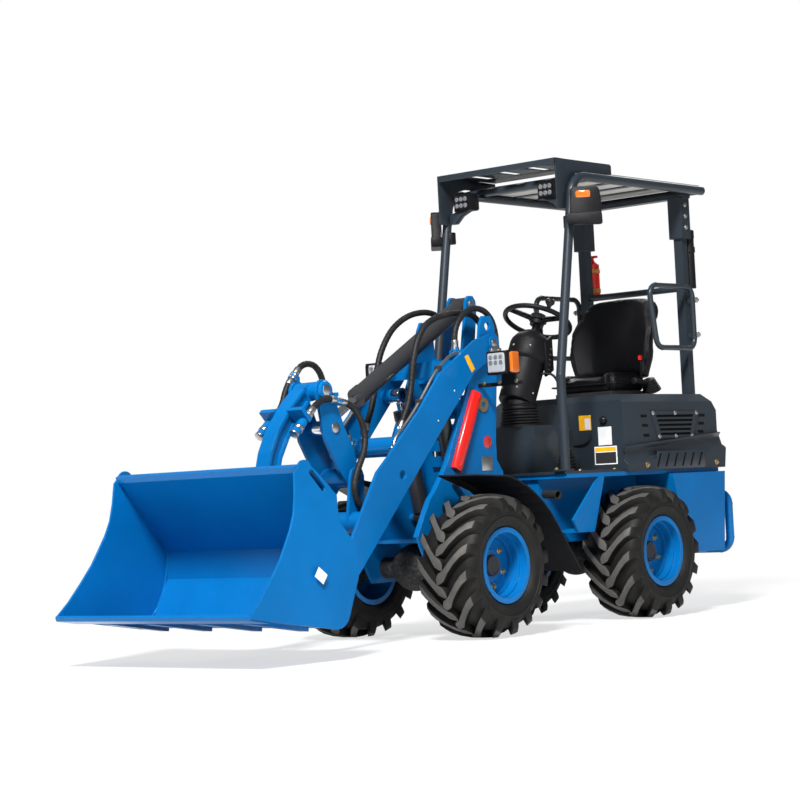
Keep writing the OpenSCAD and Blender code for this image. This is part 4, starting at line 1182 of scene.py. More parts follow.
@dataclass
class FrontFrame(Assembly):
    """Lamps, pins, keepers and the stowed strut on the tower."""

    tower_y: float = 200
    boom_out: float = 225
    lamp_low: float = 1217
    lamp_high: float = 1328

    BODY = Body.FRONT

    def build(self) -> None:
        """Builds the tower's pieces."""
        self._lamps()
        self._pins()
        self._strut()

    def _lamps(self) -> None:
        """Adds a clear lens with cells, a bezel and an amber side to each head lamp, and the arms' bolts."""
        low, high = self.lamp_low, self.lamp_high
        cell = [(0.0, 0.002), (0.008, 0.003), (0.011, 0.001), (0.011, -0.002), (0.0, -0.002)]
        frames: list[Object] = []
        for side in Side:
            lens = Bench.side_block(
                "lens_" + side.label, side, (408, 427), (320, 426), (low + 8, high - 8), 0.016, 6)
            self.add(lens, Finish.CLEAR)
            frame = Bench.side_block("bezel", side, (404, 424), (312, 434), (low, high), 0.016, 6)
            hole = Bench.side_block("hole", side, (396, 436), (321, 425), (low + 9, high - 9), 0.014, 5)
            frames.append(Bench.cut(frame, hole))
            first = min(320 * side.value, 426 * side.value) + 23
            cells = [
                Bench.turned("cell", cell, at(427, first + 30 * i, high - 30 - 26 * j), FORWARD, 20)
                for i in range(3) for j in range(2)
            ]
            self.group("head_cells_" + side.label, cells, Finish.CELL)
            cover = Bench.side_block(
                "amber_side_" + side.label, side, (352, 414), (436, 459), (low + 4, high - 6), 0.010, 5)
            self.add(cover, Finish.AMBER)
        self.group("lamp_bezels", frames, Finish.PLASTIC)
        arm = [(at(350, y, 1183.5), FORWARD) for y in (235, 330, 430)]
        self.bolts("lamp_bolts", "bolt", mirrored(arm), 0.008, Finish.YELLOW_ZINC)

    def _pins(self) -> None:
        """Adds the boom's and the tilt cylinder's pin faces, and the keeper plates."""
        outline = [(212, 1330), (288, 1330), (296, 1352), (268, 1364), (232, 1364), (204, 1352)]
        caps, keepers = [], []
        for side in Side:
            boom, tilt = at(250, (self.boom_out + 9) * side.value, 1380), at(200, 63 * side.value, 1583)
            caps.append(Bench.button("pin_cap", (0.018, 0.021), (0.003, 0.001, -0.002), boom, side.out))
            caps.append(Bench.button("pin_cap", (0.019, 0.022), (0.006, 0.003, -0.002), tilt, side.out))
        self.group("tower_pins", caps, Finish.STEEL)
        for side in Side:
            y = (self.boom_out + 9.2) * side.value
            keepers.append(Bench.side_plate("keeper", outline, y, 0.006 * side.value, 0.0012))
        self.group("pin_keepers", keepers, Finish.ZINC)
        bolts = [(at(x, self.boom_out + 15, 1343), LEFT) for x in (226, 274)]
        self.bolts("keeper_bolts", "bolt", mirrored(bolts), 0.008, Finish.ZINC)

    def _strut(self) -> None:
        """Adds the strut's round-backed channel, its pins and lug, and a marker and a blank plate beside it."""
        foot, head = at(557, self.tower_y + 0.5, 777), at(375, self.tower_y + 0.5, 1140)
        across = (head - foot).normalized().cross(LEFT)
        wide, wall, rise = 0.034, 0.009, 0.019
        bow = [(-wide, 0.0), (-wide, wall)]
        for degrees in range(20, 180, 20):
            angle = math.radians(degrees)
            bow.append((-wide * math.cos(angle), wall + rise * math.sin(angle)))
        bow += [(wide, wall), (wide, 0.0)]
        channel = Bench.plate("strut_channel", [foot + u * across + v * LEFT for u, v in bow], head - foot, 0.0015)
        self.add(channel, Finish.RED)
        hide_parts("safety_strut")
        pins = [
            Bench.rod("strut_pin", at(x, 212, z), at(x, 234, z), 0.009, bevel=0.003)
            for x, z in ((384, 1122), (548, 795))
        ]
        self.group("strut_pins", pins, Finish.RED)
        ring = [(0.014, 0.0), (0.034, 0.0), (0.036, 0.003), (0.034, 0.007), (0.014, 0.007), (0.014, 0.0)]
        self.add(Bench.turned("strut_lug", ring, at(322, self.tower_y, 1085), LEFT, 32), Finish.YELLOW_ZINC)
        disc = [(0.0, 0.005), (0.026, 0.004), (0.031, 0.001), (0.031, -0.001), (0.0, -0.001)]
        self.add(Bench.turned("red_marker", disc, at(298, self.tower_y, 905), LEFT, 36), Finish.RED_LENS)
        self.add(Bench.block("blank_plate", at(270, 199.5, 770), at(352, 202, 838), 0.001), Finish.STEEL)


@dataclass
class Chassis(Assembly):
    """The exhaust, the steps' teeth and the bolts of the deck, fenders and counterweight."""

    tooth_step: float = 14.5

    def build(self) -> None:
        """Builds the chassis's pieces."""
        pipe = [(0.0, 0.0), (0.021, 0.0), (0.021, 0.10), (0.017, 0.10), (0.017, 0.02), (0.0, 0.02)]
        self.add(Bench.turned("exhaust", pipe, at(-6, 296, 642), Vector((0.25, 1, -0.05)), 32), Finish.CAST)
        teeth = []
        for side in Side:
            for i in range(9):
                x = -238 + self.tooth_step * i
                teeth.append(Bench.side_block("tooth", side, (x, x + 5), (260, 408), (459, 465), 0.001, 1))
        self.group("step_teeth", teeth, Finish.BLUE)
        deck = [(at(x, y, 750.2), UP) for x in (-480, -190) for y in (-380, 380)]
        self.bolts("deck_bolts", "dome", deck, 0.011, Finish.YELLOW_ZINC)
        fender = [(at(x, 240, z), UP) for x, z in ((549, 709), (437, 561))]
        self.bolts("fender_bolts", "bolt", mirrored(fender), 0.009, Finish.YELLOW_ZINC, Body.FRONT)
        weight = [(at(-1383, y, z), -FORWARD) for y in (-405, 405) for z in (640, 690)]
        self.bolts("weight_bolts", "bolt", weight, 0.012, Finish.ZINC)


@dataclass
class Hood(Assembly):
    """What is on the hood: screws, painted shade in the vents and slits, a catch with a cable, and tail lamps."""

    half_width: float = 415
    skirt_out: float = 437
    deck_z: float = 735
    grille_x: float = -984

    def build(self) -> None:
        """Builds the hood's pieces."""
        rows = ((290, (-784, -984, -1184)), (171, (-833, -984, -1135)))
        screws = [(at(x, self.half_width + 8, self.deck_z + rise), LEFT) for rise, row in rows for x in row]
        self.bolts("grille_screws", "bolt", mirrored(screws), 0.0085, Finish.ZINC)
        skirt = [(at(x, self.skirt_out, self.deck_z + 30), LEFT) for x in (-690, -1330)]
        self.bolts("skirt_bolts", "bolt", mirrored(skirt), 0.012, Finish.YELLOW_ZINC)
        self._vents()
        self._slits()
        self._catch()
        self._tail()

    def _vents(self) -> None:
        """Adds painted shade: black blocks for three short vents on either side of the grille, and for the shade
        behind the grille's slots.
        """
        out, mid = self.half_width, self.grille_x
        slots: list[Object] = []
        for side in Side:
            for middle, shift, drops in ((-710, -8, (0, 48, 98)), (-1245, 10, (0, 42, 84))):
                for i, drop in enumerate(drops):
                    x, z = middle + shift * i, self.deck_z + 276 - drop
                    slots.append(Bench.side_block(
                        "vent", side, (x - 26, x + 26), (out - 2, out + 2.2), (z - 7, z + 7), 0.006, 3))
            for row in range(5):
                z = self.deck_z + 281 - 23 * row
                half = 178 - 51 * (18 + 23 * row) / 138
                slots.append(Bench.side_block(
                    "gap", side, (mid - half, mid + half), (out + 1, out + 3.4), (z - 12.5, z - 0.5), 0.0005, 1))
        # The black blocks are painted shade in the openings.
        self.group("hood_vents", slots, Finish.VOID)

    def _slits(self) -> None:
        """Adds a vent plate to each skirt, with six slits that lean to the rear, painted black as the shade inside
        them.
        """
        face = [(-764, 4), (-782, 96), (-1236, 96), (-1218, 4)]
        bar = [(14, 16), (28, 16), (-6, 84), (-20, 84)]
        plates: list[Object] = []
        slits: list[Object] = []
        for side in Side:
            y = self.skirt_out * side.value
            sheet = [(x, self.deck_z + z) for x, z in face]
            plates.append(Bench.side_plate("vent_plate", sheet, y, 0.0015 * side.value, 0.0006))
            for i in range(6):
                slit = [(x - 800 - 76 * i, self.deck_z + z) for x, z in bar]
                slits.append(Bench.side_plate("slit", slit, y + 1.2 * side.value, 0.0009 * side.value, 0.0003))
        self.group("skirt_plates", plates, Finish.GREY)
        # The black slits are painted shade.
        self.group("skirt_slits", slits, Finish.VOID)

    def _catch(self) -> None:
        """Adds the seat box's catch and the cable below it."""
        profile = [(0.0, 0.024), (0.012, 0.023), (0.018, 0.018), (0.018, 0.010), (0.011, 0.006), (0.022, 0.003),
                   (0.022, -0.002), (0.0, -0.002)]
        knob = Bench.turned("hood_catch", profile, at(-530, 297, self.deck_z + 262), FORWARD, 32)
        self.add(knob, Finish.GLOSS)
        line = ((-529, 214, 934), (-523, 210, 910), (-521, 185, 887), (-522, 145, 880), (-529, 100, 879))
        self.add(Route([at(*p) for p in line], 0.012).pipe("catch_cable", 0.005), Finish.SOFT_RUBBER)

    def _tail(self) -> None:
        """Adds a tail lamp in a black frame at either rear corner."""
        for side in Side:
            for name, x, y, z, bevel, finish in (
                ("tail_frame_", (-1398, -1384), (300, 396), (940, 1036), 0.006, Finish.PLASTIC),
                ("tail_lens_", (-1403, -1392), (308, 388), (988, 1029), 0.004, Finish.RED_LENS),
                ("tail_amber_", (-1403, -1392), (308, 388), (948, 983), 0.004, Finish.AMBER),
            ):
                self.add(Bench.side_block(name + side.label, side, x, y, z, bevel, 3), finish)


@dataclass
class Console(Assembly):
    """The steering console: its bellows, shroud, switches, wheel and hand lever."""

    foot: Pair = (-211, 1120)
    top: Pair = (-414, 1519)

    def build(self) -> None:
        """Builds the console's pieces."""
        self._bellows()
        self._shroud()
        self._wheel()
        self._levers()

    def _bellows(self) -> None:
        """Adds the ribbed boot round the column's foot."""
        profile: list[Pair] = [(0.06, -0.004), (0.104, -0.004)]
        for i in range(9):
            z = 0.0145 * i
            wide = 0.104 - 0.0022 * i
            profile += [(wide, z + 0.002), (wide, z + 0.0075), (wide - 0.011, z + 0.010), (wide - 0.011, z + 0.0125)]
        profile += [(0.06, 0.134)]
        self.add(Bench.turned("console_bellows", profile, at(-225, 0, 986), UP, 48), Finish.SOFT_RUBBER)

    def _along(self, share: float) -> Vector:
        """Returns a point on the column's axis."""
        x = self.foot[0] + (self.top[0] - self.foot[0]) * share
        z = self.foot[1] + (self.top[1] - self.foot[1]) * share
        return at(x, 0, z)

    def _axis(self) -> Vector:
        """Returns the column's direction."""
        return (self._along(1) - self._along(0)).normalized()

    def _shroud(self) -> None:
        """Adds the moulded shroud with its screws, and the switch panel with its keys."""
        axis = self._axis()
        reach = (self._along(1) - self._along(0)).length
        profile = [
            (0.0, -0.02), (0.088, -0.02), (0.093, -0.012), (0.093, 0.20), (0.100, 0.206), (0.108, 0.222),
            (0.108, 0.30), (0.104, 0.318), (0.088, 0.345), (0.060, 0.362), (0.030, 0.370), (0.0, 0.371),
        ]
        self.add(Bench.turned("console_shroud", profile, self._along(0), axis, 56), Finish.PLASTIC)
        side = axis.cross(LEFT).normalized()
        spots = []
        for height, count, wide in ((0.262, 7, 0.108), (0.03, 6, 0.093)):
            for i in range(count):
                angle = math.tau * i / count
                out = math.cos(angle) * LEFT + math.sin(angle) * side
                spots.append((self._along(height / reach) + wide * out, out))
        self.bolts("console_screws", "dome", spots, 0.006, Finish.ZINC)
        face = [at(-318, 95, 1228), at(-318, 95, 1404), at(-402, 78, 1440), at(-404, 78, 1262)]
        self.add(Bench.plate("switch_panel", face, 0.02 * LEFT, 0.006), Finish.PLASTIC)
        keys = [(at(-340 - 9 * i, 113 - 2 * i, 1262 + 26 * i), LEFT) for i in range(5)]
        self.bolts("switch_keys", "dome", keys, 0.009, Finish.GLOSS)

    def _wheel(self) -> None:
        """Adds the steering wheel's boss, flat spokes and spinner."""
        axis = self._axis()
        middle = self._along(1)
        profile = [(0.0, 0.034), (0.026, 0.033), (0.040, 0.026), (0.047, 0.012), (0.047, -0.004), (0.0, -0.004)]
        self.add(Bench.turned("wheel_boss", profile, middle + 0.006 * axis, axis, 40), Finish.GLOSS)
        across = axis.cross(LEFT).normalized()
        parts = []
        for angle in (90, 210, 330):
            way = math.cos(math.radians(angle)) * across + math.sin(math.radians(angle)) * LEFT
            wide = axis.cross(way)
            shape = ((0.035, -0.021), (0.035, 0.021), (0.162, 0.013), (0.162, -0.013))
            corners = [middle + (u * way + v * wide) + 0.008 * axis for u, v in shape]
            parts.append(Bench.plate("spoke", corners, 0.005 * axis, 0.0015))
        self.group("wheel_spokes", parts, Finish.STEEL)
        place = middle + 0.168 * (math.cos(2.2) * across + math.sin(2.2) * LEFT)
        profile = [(0.0, 0.062), (0.016, 0.060), (0.024, 0.050), (0.024, 0.040), (0.013, 0.026), (0.010, 0.012),
                   (0.0, 0.012)]
        self.add(Bench.turned("wheel_spinner", profile, place, axis, 28), Finish.GLOSS)

    def _levers(self) -> None:
        """Adds the hand lever beside the column and the boot of the floor lever."""
        line = [at(-300, 96, 1245), at(-318, 140, 1240), at(-330, 168, 1200), at(-336, 172, 1120)]
        self.add(Route(line, 0.02).pipe("hand_lever", 0.0065), Finish.PLASTIC)
        grip = Bench.rod("hand_grip", at(-336, 172, 1128), at(-339, 174, 1062), 0.0095, 0.012, 20, 0.003)
        self.add(grip, Finish.GLOSS)
        profile = boot_profile(7, 0.060, 0.0055, 0.017, 0.010, 0.0135)
        self.add(Bench.turned("lever_boot", profile, at(-330, 200, 751), UP, 32), Finish.SOFT_RUBBER)


class Padding:
    """Swells a shaped block into an upholstered pad."""

    FRAMES = 20
    CELL = 0.007

    @classmethod
    def swell(cls, obj: Object, pressure: float, limit: float) -> None:
        """Runs a short cloth simulation and applies it.

        Args:
            obj: The block to swell.
            pressure: The pressure inside it.
            limit: The furthest that a point may move, in metres.
        """
        Bench.pick(obj)
        obj.data.remesh_voxel_size = cls.CELL
        bpy.ops.object.voxel_remesh()
        before = [v.co.copy() for v in obj.data.vertices]
        cloth = obj.modifiers.new("swell", "CLOTH")
        cloth.settings.use_pressure = True
        cloth.settings.uniform_pressure_force = pressure
        cloth.settings.effector_weights.gravity = 0
        cloth.point_cache.frame_end = cls.FRAMES
        for frame in range(1, cls.FRAMES + 1):
            bpy.context.scene.frame_set(frame)
        bpy.ops.object.modifier_apply(modifier=cloth.name)
        bpy.context.scene.frame_set(1)
        for vertex, old in zip(obj.data.vertices, before):
            move = vertex.co - old
            if move.length > limit:
                vertex.co = old + move * (limit / move.length)
        smooth = obj.modifiers.new("smooth", "SMOOTH")
        smooth.factor = 0.5
        smooth.iterations = 6
        bpy.ops.object.modifier_apply(modifier=smooth.name)


@dataclass
class Seat(Assembly):
    """The driver's seat: a bolstered cushion and a shaped back, with a boot and a lever beside it."""

    half_width: float = 0.258
    cushion_half: float = 205
    cushion_ends: Pair = (-1118.0, -762.0)
    low_z: float = 1158
    top_z: float = 1232
    back_low: Pair = (-1078, 1222)
    back_high: Pair = (-1168, 1655)
    back_thick: float = 0.066

    WELT = ((-772, -190), (-764, 0), (-772, 190), (-800, 207), (-940, 209), (-1080, 207), (-1116, 188), (-1120, 0),
            (-1116, -188), (-1080, -207), (-940, -209), (-800, -207), (-772, -190))

    @staticmethod
    def _grid_block(name: str, low: Vector, high: Vector) -> Object:
        """Adds a block that is cut fine enough to be shaped."""
        obj = Bench.cube(name, low, high)
        Bench.edit(obj)
        bpy.ops.mesh.subdivide(number_cuts=23)
        bpy.ops.object.mode_set(mode="OBJECT")
        return obj

    def _cushion(self) -> Object:
        """Shapes the cushion: side bolsters, a rolled front and rounded corners."""
        rear, front = self.cushion_ends
        low, high = at(rear, -self.cushion_half, self.low_z), at(front, self.cushion_half, self.top_z)
        obj = self._grid_block("cushion", low, high)
        middle = (low + high) / 2
        size = high - low
        for vertex in obj.data.vertices:
            u = (vertex.co.x - middle.x) / size.x * 2
            v = (vertex.co.y - middle.y) / size.y * 2
            w = (vertex.co.z - low.z) / size.z
            corner = max(0.0, abs(u) ** 5 * abs(v) ** 5)
            vertex.co.x -= u * 0.035 * corner
            vertex.co.y -= v * 0.035 * corner
            bolster = max(0.0, (abs(v) - 0.5) / 0.5)
            vertex.co.z += w * (0.016 * math.sin(math.pi * min(1.0, bolster * 1.1)) - 0.010 * (1 - v * v))
            vertex.co.z -= w * 0.03 * max(0.0, u - 0.55) ** 1.5
            vertex.co.y -= 0.014 * v * abs(v) ** 4 * (w - 0.5) ** 2 * 4
        return obj

    def _back(self) -> Object:
        """Shapes the back: round shoulders, a hollow for the spine and bolsters that come forward."""
        thick = self.back_thick
        rise = (self.back_high[1] - self.back_low[1]) / 1000
        obj = self._grid_block("back", Vector((-thick / 2, -1, 0)), Vector((thick / 2, 1, 1)))
        foot = at(self.back_low[0], 0, self.back_low[1])
        lean = (self.back_high[0] - self.back_low[0]) / 1000
        for vertex in obj.data.vertices:
            x, v, t = vertex.co
            shoulder = max(0.0, (t - 0.62) / 0.38)
            waist = max(0.0, (0.3 - t) / 0.3)
            half = self.half_width * math.sqrt(max(0.0, 1 - 0.22 * shoulder**4)) * (1 - 0.14 * waist**1.5)
            wing = max(0.0, (abs(v) - 0.45) / 0.55)
            ahead = 0.060 * wing**1.4 * (1 - 0.75 * shoulder) * (0.55 + 0.45 * math.sin(math.pi * min(1.0, t + 0.1)))
            slim = 1 - 0.45 * shoulder**2 - 0.25 * wing**3
            crown = -0.03 * (1 - v * v) * t**6
            vertex.co = foot + Vector((lean * t + x * slim + ahead + 0.012 * math.sin(math.pi * t), half * v, 0))
            vertex.co.z = foot.z + rise * (t - 0.06 * abs(v) ** 5 * shoulder) - crown * 0.3
        return obj

    def build(self) -> None:
        """Builds the cushion, the back, the cushion's welt and the controls beside them."""
        for name, obj, node in (
            ("seat_pad", self._cushion(), "seat_cushion"),
            ("seat_backrest", self._back(), "seat_back"),
        ):
            Padding.swell(obj, 3.0, 0.012)
            Bench.label(obj, name)
            fine = obj.modifiers.new("fine", "SUBSURF")
            fine.levels = fine.render_levels = 1
            Bench.pick(obj)
            bpy.ops.object.modifier_apply(modifier=fine.name)
            self.add(obj, Finish.VINYL)
            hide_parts(node)
        welt = Route([at(x, y, self.low_z + 34) for x, y in self.WELT], 0.02)
        self.add(welt.pipe("seat_welt", 0.0042, 8), Finish.VINYL)
        self._controls()

    def _controls(self) -> None:
        """Adds the boot, the slide lever and the red belt tab at the seat's left."""
        profile = boot_profile(6, 0.050, 0.0035, 0.012, 0.007, 0.0095)
        boot = Bench.turned("seat_boot", profile, at(-1075, 228, 1150), Vector((0.45, 0.0, 1)), 28)
        self.add(boot, Finish.SOFT_RUBBER)
        lever = Bench.rod("seat_lever", at(-1040, 225, 1185), at(-905, 232, 1203), 0.016, 0.019, bevel=0.005)
        self.add(lever, Finish.PLASTIC)
        self.add(Bench.block("belt_stalk", at(-1012, 206, 1215), at(-1004, 214, 1318), 0.002), Finish.PLASTIC)
        self.add(Bench.block("belt_tab", at(-1022, 203, 1312), at(-994, 217, 1338), 0.004), Finish.RED)


@dataclass
class Mirror(Assembly):
    """One mirror: its side, its middle, its turn in degrees and its foot on the post."""

    side: Side
    middle: Vector
    turn: float
    post: Vector

    SHELL = ((-84, -72), (-78, -88), (74, -94), (84, -84), (86, 30), (78, 78), (62, 91), (-48, 92), (-62, 80),
             (-68, -30))
    LIP = ((-88, -38), (86, -38), (88, -90), (78, -97), (-80, -91), (-88, -76))
    LAMP = ((-36, 40), (-30, 34), (30, 34), (36, 40), (36, 64), (30, 70), (-30, 70), (-36, 64))

    def _front(self) -> Vector:
        """Returns the direction that the housing's back faces."""
        turn = math.radians(self.turn)
        return Vector((math.cos(turn), math.sin(turn) * self.side.value, 0))

    def _sheet(self, outline: Sequence[Pair], back: float, ahead: float, bevel: float) -> Object:
        """Extrudes an outline in millimetres between two depths in metres."""
        turn = math.radians(self.turn)
        front = self._front()
        across = Vector((-math.sin(turn), math.cos(turn) * self.side.value, 0))
        corners = [self.middle + (u * across + v * UP) / 1000 + back * front for u, v in outline]
        return Bench.plate("mirror_sheet", corners, (ahead - back) * front, bevel)

    def build(self) -> None:
        """Builds the housing with its lip, arm and clamp, the glass and the amber lamp."""
        post, name = self.post, self.side.label
        whole = self.group("mirror_housing_" + name, [
            self._sheet(self.SHELL, -0.024, 0.026, 0.012), self._sheet(self.LIP, -0.026, 0.031, 0.007),
            Bench.rod("mirror_arm", post, self.middle - 0.06 * UP - 0.02 * self._front(), 0.008),
            Bench.rod("mirror_clamp", post - 0.03 * UP, post + 0.03 * UP, 0.026, bevel=0.003),
        ], Finish.PLASTIC)
        if self.side is Side.LEFT:
            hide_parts("mirrors")
        glass = self._sheet([(0.9 * u, 0.9 * v) for u, v in self.SHELL], -0.0265, -0.0235, 0.001)
        self.add(Bench.label(glass, "mirror_glass_" + name), Finish.MIRROR)
        lamp = self._sheet(self.LAMP, 0.02, 0.031, 0.004)
        self.add(Bench.label(lamp, "mirror_lamp_" + name), Finish.AMBER)


@dataclass
class Canopy(Assembly):
    """Lamps, mirrors, the header's sheets, the lining, bolts and what hangs on the posts."""

    roof_z: float = 2228
    lamp_y: float = 268
    header_z: float = 2288
    header_half: float = 375
    header_ends: Pair = (-600, -125)
    sheet: float = 5
    tube_at: Pair = (-1358.3, 322)

    def build(self) -> None:
        """Builds the canopy's pieces."""
        self._work_lamps()
        for side, middle, turn in (
            (Side.LEFT, at(-175, 497, self.roof_z - 188), 33), (Side.RIGHT, at(-205, -462, self.roof_z - 205), 50),
        ):
            Mirror(side, middle, turn, at(-212, 375 * side.value, self.roof_z - 255)).build()
        self._header()
        lining = Bench.block("roof_lining", at(-1352, -366, self.roof_z - 6), at(-432, 366, self.roof_z + 0.2), 0.002)
        self.add(lining, Finish.PALE)
        self._posts()
        self._bottle()

    def _work_lamps(self) -> None:
        """Adds six cells, fins and a bracket to each work lamp."""
        cell = [(0.0, 0.003), (0.006, 0.006), (0.012, 0.003), (0.0125, -0.002), (0.0, -0.002)]
        arm = [(362, -186), (362, -136), (300, -118), (236, -118), (236, -128), (290, -150), (330, -186)]
        top = self.roof_z
        for side in Side:
            mid = self.lamp_y * side.value
            cells = [
                Bench.turned("cell", cell, at(-177, mid + 27 * (i - 1), top - 83 + 33 * (row - 0.5)), FORWARD, 20)
                for row in range(2) for i in range(3)
            ]
            self.group("lamp_cells_" + side.label, cells, Finish.CELL)
            fins = [
                Bench.block("fin", at(-262, y, top - 120), at(-249, y + 5, top - 46), 0.001, 1)
                for y in (mid - 46 + 13 * i for i in range(8))
            ]
            self.group("lamp_fins_" + side.label, fins, Finish.BLACK)
            outline = [at(-232, y * side.value, top + z) for y, z in arm]
            self.add(Bench.plate("lamp_bracket_" + side.label, outline, 0.036 * FORWARD, 0.004), Finish.GREY)

    def _header(self) -> None:
        """Builds the guard over the front: a lip, two cheeks and a level sheet with four slots."""
        (back, front), top = self.header_ends, self.header_z
        under, half, inner = top - self.sheet, self.header_half, self.header_half - self.sheet
        slots = [(-295, -245), (-113, -63), (69, 119), (251, 301)]
        edges = [-inner] + [y for slot in slots for y in slot] + [inner]
        parts = [
            Bench.block("lip", at(front - 5, -half, top - 32), at(front, half, top), 0.0012),
            Bench.block("strip", at(-190, -inner, under), at(front - 4, inner, top), 0.0008),
            Bench.block("strip", at(back, -inner, under), at(-445, inner, top), 0.0008),
        ]
        for low, high in zip(edges[0::2], edges[1::2]):
            parts.append(Bench.block("bar", at(-446, low, under), at(-189, high, top), 0.0008))
        cheek = [(front, top), (back, top - 7), (back, 2236), (-345, 2232), (-298, 2222), (-266, 2206), (-246, 2182),
                 (-236, 2150), (-222, 2040), (front, 2040)]
        for side in Side:
            parts.append(Bench.side_plate("cheek", cheek, half * side.value, -0.006 * side.value, 0.001))
        guard = self.group("header_sheets", parts, Finish.GREY)
        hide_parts("header_guard")

    def _posts(self) -> None:
        """Adds the bolts of the posts and side guards, and the strap and cap of the document tube."""
        for name, kind, spots, radius, finish in (
            ("sleeve_bolts", "bolt", [(at(-1291, 353, z), LEFT) for z in (2010, 2070, 2130)], 0.010, Finish.ZINC),
            ("guard_bolts", "nut", [(at(-1291, 394, z), LEFT) for z in (1437, 1620)], 0.011, Finish.ZINC),
            ("post_foot_bolts", "bolt", [(at(x, 362, 761), UP) for x in (-92, -22)], 0.010, Finish.YELLOW_ZINC),
        ):
            self.bolts(name, kind, mirrored(spots), radius, finish)
        for name, profile, z in (
            ("tube_strap", [(0.0262, 0.0), (0.030, 0.001), (0.030, 0.029), (0.0262, 0.030)], 1880),
            ("tube_cap", [(0.0, 0.012), (0.022, 0.011), (0.0285, 0.006), (0.0285, -0.034), (0.0262, -0.034)], 1990),
        ):
            self.add(Bench.turned(name, profile, at(*self.tube_at, z), UP, 36), Finish.PLASTIC)

    def _bottle(self) -> None:
        """Adds the straps and the hose of the extinguisher."""
        middle = at(-1354.3, -312, 1690)
        straps = []
        for z in (0.035, 0.142):
            profile = [(0.0382, z), (0.0415, z + 0.001), (0.0415, z + 0.021), (0.0382, z + 0.022)]
            straps.append(Bench.turned("strap", profile, middle, UP, 36))
        self.group("bottle_straps", straps, Finish.STRAP)
        line = [at(-1354, -330, 1925), at(-1362, -352, 1900), at(-1364, -357, 1850), at(-1362, -354, 1770)]
        self.add(Route(line, 0.01).pipe("bottle_hose", 0.006), Finish.SOFT_RUBBER)


@dataclass
class Labels(Assembly):
    """The plates and films on the machine, all blank."""

    hood_face: float = -529
    first_layer: float = 1.6
    second_layer: float = 2.2

    def build(self) -> None:
        """Builds the films on the seat box and those on the boom and the bucket."""
        first, second = self.first_layer, self.second_layer
        for name, y, z, wide, high, depth, finish in (
            ("film_yellow", 180, 990, 74, 76, first, Finish.YELLOW_FILM),
            ("film_card", 299, 918, 82, 92, first, Finish.WHITE_FILM),
            ("film_border", 299, 820, 138, 92, first, Finish.WHITE_FILM),
            ("film_band", 299, 851, 126, 20, second, Finish.YELLOW_FILM),
            ("film_field", 299, 808, 126, 56, second, Finish.BLACK),
            ("film_inset", 196, 984, 34, 56, second, Finish.WHITE_FILM),
        ):
            low = at(self.hood_face - 1, y - wide / 2, z - high / 2)
            far = at(self.hood_face + depth, y + wide / 2, z + high / 2)
            self.add(Bench.block(name, low, far, 0.0004, 1), finish, smooth=False)
        tag = ((474, 1311), (447, 1322), (398, 1254), (425, 1237))
        self.add(Bench.side_plate("boom_tag", tag, 224.6, 0.0012, 0.0002), Finish.YELLOW_FILM, Body.BOOM, False)
        card = ((1958, 398), (1908, 362), (1936, 324), (1986, 360))
        self.add(Bench.side_plate("bucket_tag", card, 592.2, 0.001, 0.0002), Finish.WHITE_FILM, Body.BUCKET, False)


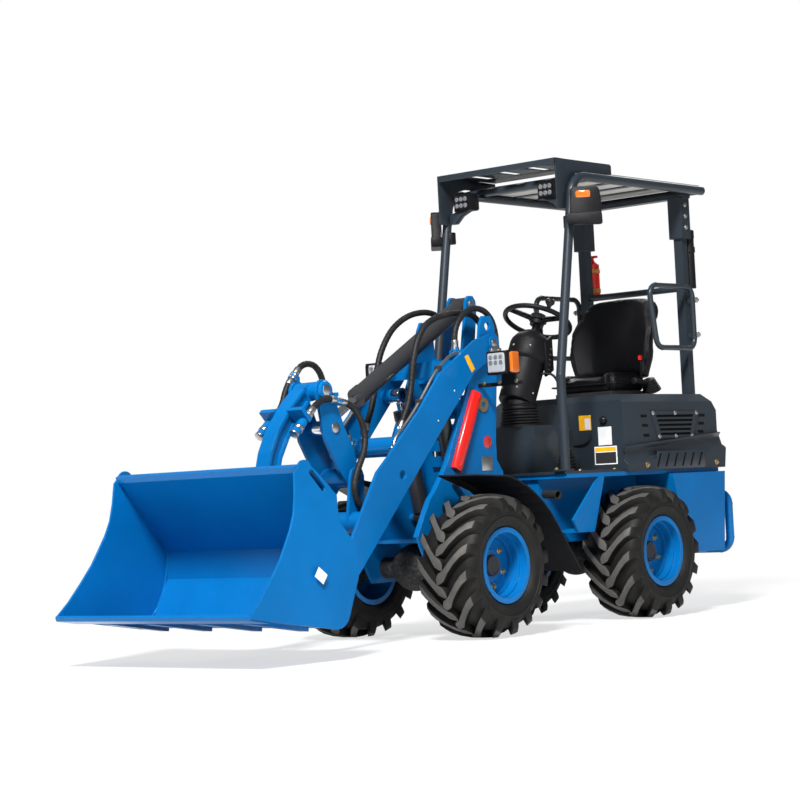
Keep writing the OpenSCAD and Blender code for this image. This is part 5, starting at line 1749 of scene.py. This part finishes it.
@dataclass
class Studio:
    """Floor, sky and lamps."""

    floor: Color = (0.86, 0.86, 0.86)
    sky: float = 0.2
    mirrored_sky: float = 0.16

    def build(self) -> None:
        """Builds the stage and sets the view."""
        bpy.context.scene.view_settings.view_transform = "Standard"
        self._floor()
        self._sky()
        self._lamp("key", (9.0, 5.0, 10.4), (1.0, 0.0, 0.6), 2.4, 3500)
        self._lamp("fill", (3.0, 8.5, 2.4), (0.0, 0.0, 0.8), 5.0, 55)
        self._lamp("rim", (-6.0, -3.0, 5.5), (-0.4, 0.0, 1.0), 4.0, 260)

    def _floor(self) -> None:
        """Adds the pale floor, white to the camera away from shadows."""
        Bench.clear()
        bpy.ops.mesh.primitive_plane_add(size=120, location=(0, 0, -0.0005))
        floor = Bench.settle("floor")
        kit = new_kit("pale_floor")
        cloud = kit.noise(kit.place(), 0.6, 2)
        shade = kit.node("ShaderNodeBsdfDiffuse", {}, {"Color": kit.mix(cloud, self.floor, scaled(self.floor, 0.98))})
        glow = kit.node("ShaderNodeEmission", {}, {"Color": WHITE, "Strength": 1.0})
        reach = kit.node("ShaderNodeVectorMath", {"operation": "LENGTH"}, {0: kit.place()}, out="Value")
        far = reach.between(3.0, 6.5)
        seen = kit.rays("Is Camera Ray") * (0.66 + 0.34 * far) + kit.rays("Is Glossy Ray") * 0.2
        mixed = kit.node("ShaderNodeMixShader", {}, {0: seen, 1: shade, 2: glow})
        kit.node("ShaderNodeOutputMaterial", {}, {"Surface": mixed})
        floor.data.materials.append(kit.owner)

    def _sky(self) -> None:
        """Gives the world an even soft light, a dimmer one in reflections and a white look to the camera."""
        world = bpy.data.worlds.new("studio")
        bpy.context.scene.world = world
        kit = NodeKit(world)
        soft, dim = (
            kit.node("ShaderNodeBackground", {}, {"Color": SKY_TINT, "Strength": strength})
            for strength in (self.sky, self.mirrored_sky)
        )
        white = kit.node("ShaderNodeBackground", {}, {"Color": WHITE, "Strength": 1.0})
        light = kit.node("ShaderNodeMixShader", {}, {0: kit.rays("Is Glossy Ray"), 1: soft, 2: dim})
        seen = kit.node("ShaderNodeMixShader", {}, {0: kit.rays("Is Camera Ray"), 1: light, 2: white})
        kit.node("ShaderNodeOutputWorld", {}, {"Surface": seen})

    @staticmethod
    def _lamp(name: str, place: Triple, target: Triple, size: float, power: float) -> None:
        """Adds a square soft lamp that looks at a target."""
        data = bpy.data.lights.new(name, "AREA")
        data.size = size
        data.energy = power
        lamp = bpy.data.objects.new(name, data)
        lamp.location = place
        lamp.rotation_euler = (Vector(target) - Vector(place)).to_track_quat("-Z", "Y").to_euler()
        bpy.context.scene.collection.objects.link(lamp)


def finish_nodes(nodes: dict[str, Object]) -> None:
    """Gives every solid that shows its finish."""
    for finish, names in NODE_FINISH.items():
        for name in names:
            Bench.paint(nodes[name], finish)
            LOG.info("solid %s: %s", name, finish.value.name)


def corners(box: tuple[Vector, Vector]) -> list[list[float]]:
    """Returns a box's two corners as plain lists."""
    return [list(corner) for corner in box]


def main() -> None:
    """Builds the camera, the hoses and then every sub-assembly."""
    logging.basicConfig(level=logging.INFO, format="%(message)s")
    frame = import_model()
    Camera().build()
    Hoses().build()
    finish_nodes(frame["nodes"])
    for part in (
        Tyres(), Bucket(), Boom(), Linkage(), FrontFrame(), Chassis(), Hood(), Console(), Seat(), Canopy(), Labels(),
        Studio(),
    ):
        part.build()


if __name__ == "__main__":
    main()
